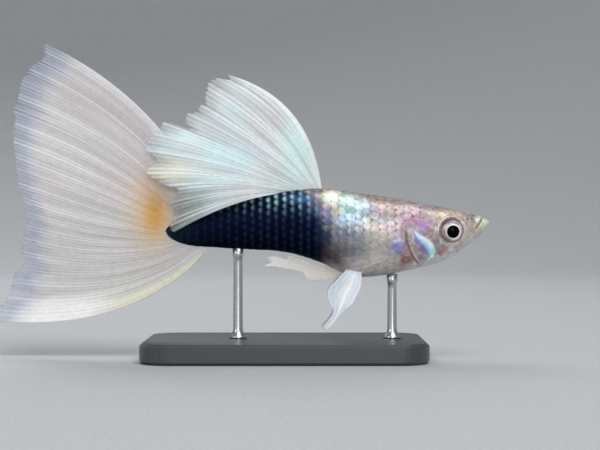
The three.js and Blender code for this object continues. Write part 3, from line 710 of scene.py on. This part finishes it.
def build_scales(side, suffix):
    """The scales of one flank, overlapping towards the tail."""
    rng = np.random.default_rng(20 if side > 0 else 21)
    seats = scale_seats(rng)
    size = rng.uniform(0.93, 1.05, len(seats))[:, None, None]
    girth = np.interp(seats[:, 0], [20, 31.5], [1, 0.72])[:, None, None]
    half_width = 0.5 * SCALE_WIDTH * girth * np.maximum(1 - np.abs(2 * ALONG - 0.94) ** 3.2, 0.02) ** 0.5
    back = seats[:, 0, None, None] + SCALE_LENGTH * girth * size * (ALONG - 0.15 - 0.06 * ACROSS**2)
    back = np.clip(back, 0.2, BODY_LENGTH - 0.12)
    # An edge that would pass the ridge of the back or the belly stays on the ridge.
    angle = angle_at(back, seats[:, 1, None, None] + half_width * size * ACROSS)
    if side < 0:
        angle = math.pi - angle
    base = surface(back, angle)
    normal = outward(back, angle)
    depth = coat_depth(back)
    loose = rng.uniform(0, 0.005, len(seats))[:, None, None]
    lift = -depth + SCALE_GAP + SCALE_RISE * ALONG - SCALE_ARCH * ACROSS**2 + loose
    top = base + normal * lift[..., None]
    low = base - normal * (depth + SCALE_SINK)[..., None]
    colour = scale_colours(rng, base)
    one = slab_faces(ALONG.size, ACROSS.size)
    if side > 0:
        one = one[:, ::-1]
    first = np.arange(len(seats)) * 2 * ALONG.size * ACROSS.size
    # Each scale's underside and edge walls take its colour at 0.6: painted shade under the scale.
    obj = make_object(
        f"scales_{suffix}", to_frame(np.concatenate([top, low], axis=1)),
        (one[None] + first[:, None, None]).reshape(-1, 4), SCALE,
        paintable(np.concatenate([colour, colour * 0.6], axis=1)),
    )
    corner = np.empty(len(obj.data.loops), np.int32)
    obj.data.loops.foreach_get("vertex_index", corner)
    unwrap = obj.data.uv_layers.new(name="OFBake")
    unwrap.data.foreach_set("uv", scale_unwrap(side, seats)[corner].ravel())
    ride(obj, "skin_trunk")


# Eyes

EYE = material("wet_eye", 0.25, metallic=0.1, coat=0.03, coat_roughness=0.02, specular=0.02)


def build_eye(side, suffix):
    """An eyeball with its iris and pupil, open towards the middle of the head."""
    rings, around = 90, 96
    turn = full_turn(around)[None, :]
    polar = np.linspace(0.004, math.pi * 0.62, rings)[:, None]
    r = EYE_RADIUS * np.sin(polar)
    y = EYE_CENTRE_Y + EYE_HALF_DEPTH * np.cos(polar) + 0.0 * turn
    back = EYE_BACK + r * np.cos(turn)
    up = EYE_UP + r * np.sin(turn)
    points = np.stack([back, side * y, up + 0 * y], -1)
    seen = r + 0 * turn
    seen = np.where(polar > math.pi / 2, 2 * EYE_RADIUS - seen, seen)
    from_pupil = np.hypot(back - PUPIL_BACK, up - PUPIL_UP)
    # Arcs of silver, lavender and pink that run round the iris
    ring = np.stack(np.broadcast_arrays(seen * 7, 1.6 * np.cos(turn), 1.6 * np.sin(turn)), -1)
    arcs = [noise(ring, 1.0, seed) for seed in (30, 31, 32)]
    high = ramp(up - EYE_UP, -0.3, 0.9)
    iris = wash(linear(166, 148, 156), (228, 212, 216), ramp(arcs[0], 0.3, 0.75))
    iris = wash(iris, (124, 116, 138), 0.8 * ramp(arcs[1], 0.4, 0.7) * high)
    iris = wash(iris, (164, 122, 122), 0.7 * ramp(arcs[2], 0.35, 0.65) * (1 - high))
    iris = wash(iris, (118, 110, 116), 0.55 * bell(seen - 1.0, 0.1) * ramp(back - EYE_BACK, -0.3, 0.8))
    front = 0.6 + 0.4 * ramp(PUPIL_BACK - back, -0.4, 0.4)
    colour = wash(iris, (255, 250, 248), front * bell(from_pupil - 0.71, 0.065))
    colour = wash(colour, (110, 94, 100), 0.45 * ramp(seen, 1.04, 1.14))
    colour = wash(colour, (2, 2, 3), 1 - ramp(from_pupil, PUPIL_RADIUS - 0.02, PUPIL_RADIUS + 0.025))
    faces = grid_faces(rings, around, closed=True) + fan_faces(rings * around, 0, around)
    if side > 0:
        faces = [f[::-1] for f in faces]
    every = np.vstack([points.reshape(-1, 3), points[0].mean(0)[None]])
    tints = np.vstack([colour.reshape(-1, 3), colour[0, :1]])
    eye = make_object(f"eyeball_{suffix}", to_frame(every), faces, EYE, tints)
    ride(eye, "eye", f"eye_{suffix}")


# Fins

FIN = material("fin_membrane", 0.45, coat=0.1, coat_roughness=0.25, see_through=True, subsurface=0.3)


def curve(points):
    """A smooth curve through points, read by the share of its length."""
    p = np.array(points, float)
    n = len(p)
    t = np.linspace(0, n - 1, 400)
    i = np.minimum(t.astype(int), n - 2)
    f = (t - i)[:, None]
    p0, p1 = p[np.maximum(i - 1, 0)], p[i]
    p2, p3 = p[i + 1], p[np.minimum(i + 2, n - 1)]
    v0, v1 = (p2 - p0) / 2, (p3 - p1) / 2
    q = (2 * p1 - 2 * p2 + v0 + v1) * f**3 + (-3 * p1 + 3 * p2 - 2 * v0 - v1) * f**2 + v0 * f + p1
    length = np.concatenate([[0], np.cumsum(np.linalg.norm(np.diff(q, axis=0), axis=1))])
    length /= length[-1]
    return lambda s: np.stack([np.interp(s, length, q[:, 0]), np.interp(s, length, q[:, 1])], -1)


def fan_edge(fin):
    """The outer edge of a fan, read by the share of the turn about its root."""
    q = curve(fin["tip"])(np.linspace(0, 1, 400))
    hub = curve(fin["root"])(np.array([0.5]))
    step = np.diff(q, axis=0)
    out = q[1:] - hub
    out /= np.linalg.norm(out, axis=1, keepdims=True)
    turned = np.abs(step[:, 0] * out[:, 1] - step[:, 1] * out[:, 0]) + 0.15 * np.linalg.norm(step, axis=1)
    share = np.concatenate([[0], np.cumsum(turned)])
    share /= share[-1]
    return lambda s: np.stack([np.interp(s, share, q[:, 0]), np.interp(s, share, q[:, 1])], -1)


def fin_sheet(fin, u, v):
    """Points (back, up) of a fin, at shares u across it and v out from its root."""
    if "bends" in fin:
        start, end = curve(fin["root"])(u), fan_edge(fin)(u)
        share = 0.5 + 0.5 * np.where(u < 0.5, 2 * u - 1, np.abs(2 * u - 1) ** fin["last_only"])
        places = np.linspace(0, 1, len(fin["bends"]))
        along, aside = (np.interp(share, places, row)[..., None] for row in zip(*fin["bends"]))
        ray = end - start
        bend = start + ray * along + np.stack([-ray[..., 1], ray[..., 0]], -1) * aside
        v = v[..., None]
        return start * (1 - v) ** 2 + 2 * bend * v * (1 - v) + end * v**2
    root, tip, lower, upper = (curve(fin[k]) for k in ("root", "tip", "lower", "upper"))
    p = root(u) * (1 - v)[..., None] + tip(u) * v[..., None]
    p = p + lower(v) * (1 - u)[..., None] + upper(v) * u[..., None]
    for corner, share in (
        (fin["root"][0], (1 - u) * (1 - v)), (fin["root"][-1], u * (1 - v)),
        (fin["tip"][0], (1 - u) * v), (fin["tip"][-1], u * v),
    ):
        p = p - np.array(corner) * share[..., None]
    return p


CAUDAL = dict(
    root=[(27.6, -1.2), (30.2, -0.6), (31.4, 0.2), (30.2, 0.9), (27.9, 1.8)],
    tip=[(50.3, -9), (48.6, -5.8), (47.6, -2.3), (47, 1.7), (47.6, 5.2), (48.2, 8.2), (48.3, 11.7),
         (47.6, 15), (46.3, 17.2), (44.5, 19.1)],
    bends=[(0.4, -0.26), (0.43, -0.17), (0.5, 0), (0.45, 0.15), (0.45, 0.2)], last_only=1,
    rays=20, forks=4, columns=5, rows=96, fringe=0.035, recess=0.07, lobes=24, pleat=0.02, seed=11,
    side=lambda u, v: 1.7 * v**2 + 0.45 * v * np.sin(u * 3 * math.pi + 0.6),
)
DORSAL = dict(
    root=[(19.9, 4), (18.3, 4.1), (16.6, 4.1)],
    tip=[(31.2, 0), (32.4, 0.6), (32.7, 2.2), (32.8, 4.1), (34.4, 5.3), (34.7, 7), (34.5, 9.4),
         (33.4, 11.3), (31.2, 10.7), (30.6, 12.4), (29.4, 14.3), (27.8, 15.6), (25.8, 15.6)],
    bends=[(0.46, 0.107), (0.5, 0.06), (0.53, 0.34)], last_only=4,
    rays=11, forks=4, columns=5, rows=84, fringe=0.12, recess=0.07, lobes=17, pleat=0.04, seed=5,
    side=lambda u, v: -(0.5 + 0.9 * (1 - u)) * ramp(v, 0, 0.34) - 0.55 * v,
)
ANAL = dict(
    root=[(13.6, -3.8), (14.9, -3.1)],
    tip=[(22.6, -3.38), (21.8, -2.95), (22.3, -2.55)],
    lower=[(13.6, -3.8), (15.3, -4.62), (17.3, -4.8), (18.15, -4.6), (18.5, -4.05), (19.8, -3.7),
           (21.3, -3.42), (22.6, -3.38)],
    upper=[(14.9, -3.1), (16.8, -3.35), (18.3, -2.8), (19.8, -2.35), (20.15, -2.7), (21.3, -2.4),
           (22.3, -2.55)],
    rays=7, forks=2, columns=4, rows=60, fringe=0.02, recess=0.03, lobes=6, pleat=0, seed=3,
    side=lambda u, v: 0 * u,
)
PELVIC = dict(
    root=[(12.7, -3.8), (14.2, -3.7)],
    tip=[(16.1, -9.62), (16.4, -9.7), (16.7, -9.5)],
    lower=[(12.7, -3.8), (12.7, -5.2), (13.1, -6.2), (13.6, -7.1), (14.5, -7.8), (15.1, -8.5),
           (15.7, -9.25), (16.1, -9.62)],
    upper=[(14.2, -3.7), (15.3, -4.85), (15.9, -5.5), (16.1, -6.2), (15.85, -7), (15.5, -7.7),
           (15.75, -8.35), (16.7, -9.5)],
    rays=6, forks=2, columns=4, rows=56, fringe=0.02, recess=0.03, lobes=6, pleat=0, seed=7,
)
PECTORAL = dict(
    root=[(8.9, -1.9), (8.9, -0.7)],
    tip=[(12.6, -3.3), (13.6, -2.4), (13.9, -1.2), (13.7, -0.1), (13, 0.6)],
    lower=[(8.9, -1.9), (10.6, -2.8), (12.6, -3.3)],
    upper=[(8.9, -0.7), (10.9, 0.2), (13, 0.6)],
    rays=10, forks=2, columns=4, rows=48, fringe=0.04, recess=0.04, lobes=6, pleat=0, seed=9,
)
PELVIC_ROOT_Y, PELVIC_SPLAY = 0.95, 0.15
PECTORAL_ROOT_Y, PECTORAL_SPLAY = 1.9, 0.52


def build_fin(name, fin, paint, node, slot_name, side=None, membrane=0.08, ray=0.05, flip=False):
    """A thin curved sheet with its rays as ridges, split here and there at its outer edge."""
    rng = np.random.default_rng(fin["seed"])
    sub = fin["rays"] * fin["forks"]
    even = np.linspace(0, 1, sub * fin["columns"] + 1)
    primary = even * fin["rays"]
    bundle = np.floor(np.minimum(primary, fin["rays"] - 1e-9))
    local = primary - bundle - 0.5
    start = (bundle + 0.5) / fin["rays"]
    cell = (even * sub) % 1.0
    crest = np.abs(np.sin(math.pi * cell)) ** 1.6
    which = np.minimum((even * sub).astype(int), sub - 1)
    main = 1 - np.abs(local) * 2
    height = rng.uniform(0.5, 1.0, sub)[which] * (0.55 + 0.5 * ramp(main, 0.3, 0.7))
    # Reach of each ray's tip. Between a few of the tips the fin is split.
    lobes = ramp(noise(np.stack([even * fin["lobes"], 0 * even, 0 * even], -1), 1.0, fin["seed"]), 0.1, 0.9)
    tips = np.interp(even * sub, np.arange(sub) + 0.5, rng.uniform(0, 1, sub) ** 1.4)
    splits = rng.uniform(0, 1, sub + 1)[np.round(even * sub).astype(int)] ** 3
    reach = 1 - fin["fringe"] * (0.25 * tips + lobes) - fin["recess"] * splits * (1 - crest) ** 2
    reach = 1 + (reach - 1) * ramp(np.minimum(even, 1 - even), 0.0, 0.05)
    t = np.linspace(0, 1, fin["rows"] + 1)[:, None]
    v = t * reach[None, :]
    power = 1 + 1.1 * (1 - ramp(v, 0.05, 0.75))
    squeezed = 0.5 * np.sign(local) * np.abs(2 * local) ** power
    u = np.clip(start + squeezed / fin["rays"], 0, 1)
    u = np.clip(u + 0.004 * np.sin(9 * v + 40 * start) * v * (1 - v) * 4 * np.minimum(u, 1 - u), 0, 1)
    p = fin_sheet(fin, u, v)
    thinning = ramp(t, 0.55, 1.0)
    half = (membrane * (1 - 0.6 * v) + ray * crest * height * (1 - 0.55 * v)) * (1 - 0.55 * thinning)
    half = half * (1 - 0.75 * ramp(t, 0.93, 1.0))
    middle = (side(p[..., 0], p[..., 1]) if side else fin["side"](u, v))
    middle = middle + fin["pleat"] * np.sin(2 * math.pi * primary) * ramp(v, 0.1, 0.5)
    a = np.stack([p[..., 0], middle - half, p[..., 1]], -1)
    b = np.stack([p[..., 0], middle + half, p[..., 1]], -1)
    colour, alpha = paint(u, v, p, crest[None, :] * height, main[None, :] + 0 * v, t + 0 * v)
    faces = slab_faces(*a.shape[:2])
    if not flip:
        faces = faces[:, ::-1]
    obj = make_object(
        name, to_frame(np.stack([a, b])), faces, FIN,
        paintable(np.stack([colour, colour])), np.clip(np.stack([alpha, alpha]), 0.02, 1),
    )
    ride(obj, slot_name, node)


# Paint of the fins: t runs from the root to the fin's own edge, crest is the top of a ray's branch, and
# main is high along the middle of a bundle of branches.

def streaks(u, v, seed, count):
    """Noise drawn out along the rays."""
    return noise(np.stack([u * count, v * 2.2, 0 * u], -1), 1.0, seed)


def furrow_shade(main, v):
    """Painted shade in the furrow between two neighbouring bundles of ray branches, fading towards the edge.
    """
    return (1 - ramp(main, 0.0, 0.3)) * (1 - 0.7 * v)


def membrane_alpha(u, v, t, crest, seed):
    """A large fin's alpha, fading towards its outer edge, where the tips of the rays stand free."""
    gaps = ramp(noise(np.stack([u * 34, 0 * u, 0 * u], -1), 1.0, seed), 0.35, 0.75)
    feather = ramp(t, 0.8 + 0.1 * (1 - gaps), 1.0) * (0.62 + 0.3 * gaps) * (1 - 0.55 * crest)
    return (0.93 + 0.07 * crest + 0.1 * (1 - ramp(v, 0.05, 0.3))) * (1 - feather)


# Spots on the large fins, in the same form as the patches of the skin: the golden blotch of the tail, and
# painted glints on the dorsal fin
GOLD_SPOTS = [
    (33.9, 1.8, 2.4, 3.6, 0, 0.7, (214, 184, 128)),
    (34.4, 4.6, 1.3, 1.3, 0, 0.6, (214, 178, 162)),
    (33.3, 1.8, 1.3, 2.4, 0, 1, (204, 150, 44)),
]
# Painted glints: pale cyan-white highlights on the dorsal fin
DORSAL_GLINTS = [
    (19.1, 8.2, 1.5, 3.4, 0, 0.85, (204, 246, 244)),
    (26.5, 7.6, 3.2, 1.2, 0, 0.75, (196, 236, 246)),
    (31, 9.3, 2.6, 0.8, 0, 0.85, (220, 248, 252)),
    (32, 6.1, 2.6, 0.9, 0, 0.85, (240, 236, 196)),
    (26.5, 5.3, 3, 0.5, 0, 0.6, (206, 242, 246)),
]


def paint_caudal(u, v, p, crest, main, t):
    back, up = p[..., 0], p[..., 1]
    broad = noise(np.stack([back, up, 0 * up], -1), 4.0, 41)
    line = streaks(u, v, 42, 90)
    colour = wash(linear(195, 191, 192), (216, 213, 212), ramp(line, 0.3, 0.8) * 0.5)
    colour = wash(colour, (194, 180, 183), 0.5 * ramp(broad, 0.4, 0.8) * ramp(up, 0, 6))
    lower = 1 - ramp(up, -7.5, -1.5)
    colour = wash(colour, (216, 214, 204), 0.5 * lower * (1 - ramp(back, 36, 44)))
    colour = wash(colour, (253, 252, 248), 0.95 * (1 - ramp(u, 0.04, 0.11)) * ramp(back, 36, 41))
    colour = wash(colour, (236, 233, 200), 0.6 * (1 - ramp(u, 0.02, 0.07)) * between(back, 29, 38, 2))
    colour = wash(colour, (232, 232, 236), 0.6 * (1 - ramp(1 - u, 0.0, 0.05)))
    # The golden blotch behind the scaled lobe, pinker above
    gold = 0 * u
    for *oval, tone in GOLD_SPOTS:
        here = np.clip(spot_weight(back, up, oval, 1.2) * (0.95 + 0.3 * (line - 0.5)), 0, 1)
        colour = wash(colour, tone, here)
        gold = np.maximum(gold, here)
    colour = wash(colour, (150, 162, 196), 0.75 * ramp(t, 0.84, 0.97))
    # The crests of the ray branches whiter: the rays' own paler colour, with a painted highlight along their
    # ridges
    fork = 0.4 + 0.6 * ramp(main, 0.3, 0.7)
    colour = wash(colour, (250, 249, 248), 0.5 * crest * fork * (1 - 0.75 * gold))
    # Streaks along the rays, and painted shade in the furrows between their bundles
    colour = colour * (0.93 + 0.1 * line - 0.1 * furrow_shade(main, v))[..., None]
    return colour, membrane_alpha(u, v, t, crest, 43)


def paint_dorsal(u, v, p, crest, main, t):
    back, up = p[..., 0], p[..., 1]
    line = streaks(u, v, 52, 46)
    broad = noise(np.stack([back, up, 0 * up], -1), 3.0, 53)
    colour = wash(linear(198, 203, 204), (180, 212, 220), 0.7 * ramp(broad, 0.45, 0.7))
    colour = wash(colour, (190, 184, 186), 0.6 * (1 - ramp(line, 0.25, 0.6)))
    colour = wash(colour, (226, 236, 238), 0.6 * (1 - ramp(v, 0.1, 0.5)))
    # Thinner and greyer behind, with pale cyan-white painted highlights near the front edge and along the
    # middle rays
    rear = (1 - ramp(u, 0.08, 0.34)) * ramp(back, 25.5, 30)
    colour = wash(colour, (104, 114, 106), 0.85 * rear)
    for *oval, tone in DORSAL_GLINTS:
        colour = wash(colour, tone, spot_weight(back, up, oval, 1))
    # The crests of the ray branches whiter: the rays' own paler colour, with a painted highlight along their
    # ridges
    fork = 0.35 + 0.65 * ramp(main, 0.3, 0.7)
    crest_white_and_highlight = np.clip(0.8 * crest * fork * (0.5 + line) + 0.3 * crest * (1 - v), 0, 1)
    colour = wash(colour, (254, 255, 255), crest_white_and_highlight * (1 - 0.6 * rear))
    colour = wash(colour, (252, 254, 254), 0.8 * (1 - ramp(1 - u, 0.0, 0.03)))
    # Streaks along the rays, and painted shade in the furrows between their bundles
    colour = colour * (0.93 + 0.12 * line - 0.24 * furrow_shade(main, v))[..., None]
    return colour, membrane_alpha(u, v, t, crest, 54)


def paint_anal(u, v, p, crest, main, t):
    line = streaks(u, v, 62, 20)
    colour = wash(linear(218, 212, 202), (176, 162, 150), 0.6 * (1 - ramp(v, 0.0, 0.3)))
    colour = wash(colour, (246, 244, 240), np.clip(0.4 * crest + 0.5 * ramp(v, 0.6, 1.0), 0, 1))
    return colour * (0.88 + 0.18 * line)[..., None], 0.9 + 0.1 * crest + 0 * v


def paint_pelvic(u, v, p, crest, main, t):
    line = streaks(u, v, 72, 20)
    rib = bell(u - 0.42, 0.1)
    colour = wash(linear(216, 226, 238), (246, 250, 255), np.clip(0.8 * rib + 0.5 * crest, 0, 1))
    colour = wash(colour, (160, 168, 180), 0.35 * (1 - ramp(line, 0.2, 0.6)) * (1 - rib))
    return colour * (0.9 + 0.14 * line)[..., None], 0.88 + 0.12 * np.maximum(crest, rib)


def paint_pectoral(u, v, p, crest, main, t):
    colour = np.broadcast_to(linear(206, 200, 190), (*u.shape, 3))
    colour = wash(colour, (236, 232, 226), crest)
    fade = 1 - ramp(t, 0.6, 0.95)
    return colour, 0.02 + (0.03 + 0.12 * crest) * fade + 0.2 * (1 - ramp(v, 0, 0.12))


# Stand

BASE_MATERIAL = material("satin_acrylic", 0.4, tint=linear(58, 60, 64), coat=0.2, coat_roughness=0.3,
                         bump=(0.00025, 0.000006))
ROD_MATERIAL = material("satin_steel", 0.3, metallic=1.0, tint=linear(190, 194, 198), bump=(0.0001, 0.000002))


def build_rod(name, back, node):
    """A turned rod: a foot with a rounded collar, a slim shaft and a soft pad under the body."""
    low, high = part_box(node)
    bottom, top = BASE_TOP, high[2] / MM + 0.25
    radius = (high[0] - low[0]) / 2 / MM
    profile = [  # (share of the rod's radius, height)
        (1.7, bottom), (1.78, bottom + 0.12), (1.7, bottom + 0.3), (1.3, bottom + 0.42),
        (1.04, bottom + 0.75), (0.98, bottom + 1.0), (0.9, top - 1.4), (0.92, top - 1.0),
        (1.05, top - 0.9), (1.08, top - 0.6), (1.08, top),
    ]
    around = 40
    rings = turned([(share * radius, height) for share, height in profile], around, SNOUT_X - back)
    faces = grid_faces(len(profile), around, closed=True)
    faces.append(list(range(around))[::-1])
    faces.append([(len(profile) - 1) * around + k for k in range(around)])
    rod = make_object(name, rings * MM, faces, ROD_MATERIAL)
    ride(rod, "rod", node)


build_skin()
build_scales(1, "left")
build_scales(-1, "right")
build_eye(1, "left")
build_eye(-1, "right")
build_fin("caudal_membrane", CAUDAL, paint_caudal, "caudal_fin", "fin_white")
build_fin("dorsal_membrane", DORSAL, paint_dorsal, "dorsal_fin", "fin_white")
build_fin("anal_membrane", ANAL, paint_anal, "anal_fin", "fin_clear", ray=0.025, flip=True)
for suffix, hand in (("left", 1), ("right", -1)):
    build_fin(
        f"pelvic_membrane_{suffix}", PELVIC, paint_pelvic, f"pelvic_fin_{suffix}", "fin_clear",
        side=lambda b, u, s=hand: s * (PELVIC_ROOT_Y - PELVIC_SPLAY * (u - PELVIC["root"][0][1])),
        ray=0.02, flip=True,
    )
    build_fin(
        f"pectoral_membrane_{suffix}", PECTORAL, paint_pectoral, f"pectoral_fin_{suffix}", "fin_clear",
        side=lambda b, u, s=hand: s * (PECTORAL_ROOT_Y + PECTORAL_SPLAY * (b - PECTORAL["root"][0][0])),
        membrane=0.04, ray=0.06,
    )
for place, back in ROD_BACKS.items():
    build_rod(f"rod_{place}", back, f"stand_rod_{place}")
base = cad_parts["stand_base"]
base.data.materials.clear()
base.data.materials.append(BASE_MATERIAL)


# Studio

def build_backdrop():
    """A round floor that curves up into a wall all round."""
    curve_from, curve_radius, height = 0.26, 0.24, 0.8
    bend = np.linspace(0, math.pi / 2, 20)
    radii = np.concatenate([[0.0005], curve_from + curve_radius * np.sin(bend), [curve_from + curve_radius]])
    heights = np.concatenate([[0.0], curve_radius * (1 - np.cos(bend)), [height]])
    around = 96
    rings = turned(zip(radii, heights), around)
    faces = [*grid_faces(len(rings), around, closed=True), list(range(around))]
    pale = material("backdrop", 0.85, tint=linear(204, 206, 208))
    backdrop = make_object("backdrop", rings, faces, pale)
    return backdrop


LIGHT_TARGET = np.array([0.0, 0.0, 0.013])


def area_light(name, place, size, power, colour, unlit=None):
    """A square light aimed at the fish, which leaves the object unlit alone."""
    light = bpy.data.lights.new(name, "AREA")
    light.energy = power
    light.size = size
    light.color = colour
    obj = bpy.data.objects.new(name, light)
    obj.location = place
    obj.rotation_euler = Vector(LIGHT_TARGET - np.array(place)).to_track_quat("-Z", "Y").to_euler()
    bpy.context.scene.collection.objects.link(obj)
    if unlit:
        left_out = bpy.data.collections.new(f"{name}_leaves_out")
        left_out.objects.link(unlit)
        left_out.collection_objects[0].light_linking.link_state = "EXCLUDE"
        obj.light_linking.receiver_collection = left_out


BACKDROP = build_backdrop()
area_light("key", (0.1, -0.2, 0.34), 0.24, 0.82, (1.0, 0.985, 0.96))
area_light("fill", (-0.28, -0.24, 0.14), 0.16, 0.26, (0.93, 0.97, 1.0), BACKDROP)
area_light("rim", (-0.1, 0.22, 0.26), 0.2, 0.4, (0.96, 0.98, 1.0))
area_light("front", (0.05, -0.38, 0.1), 0.14, 0.5, (1.0, 1.0, 1.0), BACKDROP)
world = bpy.data.worlds.new("studio")
world.use_nodes = True
sky = world.node_tree.nodes["Background"].inputs
sky["Color"].default_value = (0.9, 0.93, 0.97, 1)
sky["Strength"].default_value = 0.4
bpy.context.scene.world = world
bpy.context.scene.view_settings.view_transform = "Standard"

# Camera: level with the fish, its right side square on
FIELD_WIDTH = 0.06
FIELD_MIDDLE_X = 0.0015
FIELD_MIDDLE_Z = 0.01333
lens = bpy.data.cameras.new("camera")
lens.lens = 85
lens.sensor_width = 36
lens.clip_start = 0.01
camera = bpy.data.objects.new("camera", lens)
camera.location = (FIELD_MIDDLE_X, -FIELD_WIDTH * lens.lens / lens.sensor_width, FIELD_MIDDLE_Z)
camera.rotation_euler = (math.pi / 2, 0, 0)
bpy.context.scene.collection.objects.link(camera)
bpy.context.scene.camera = camera
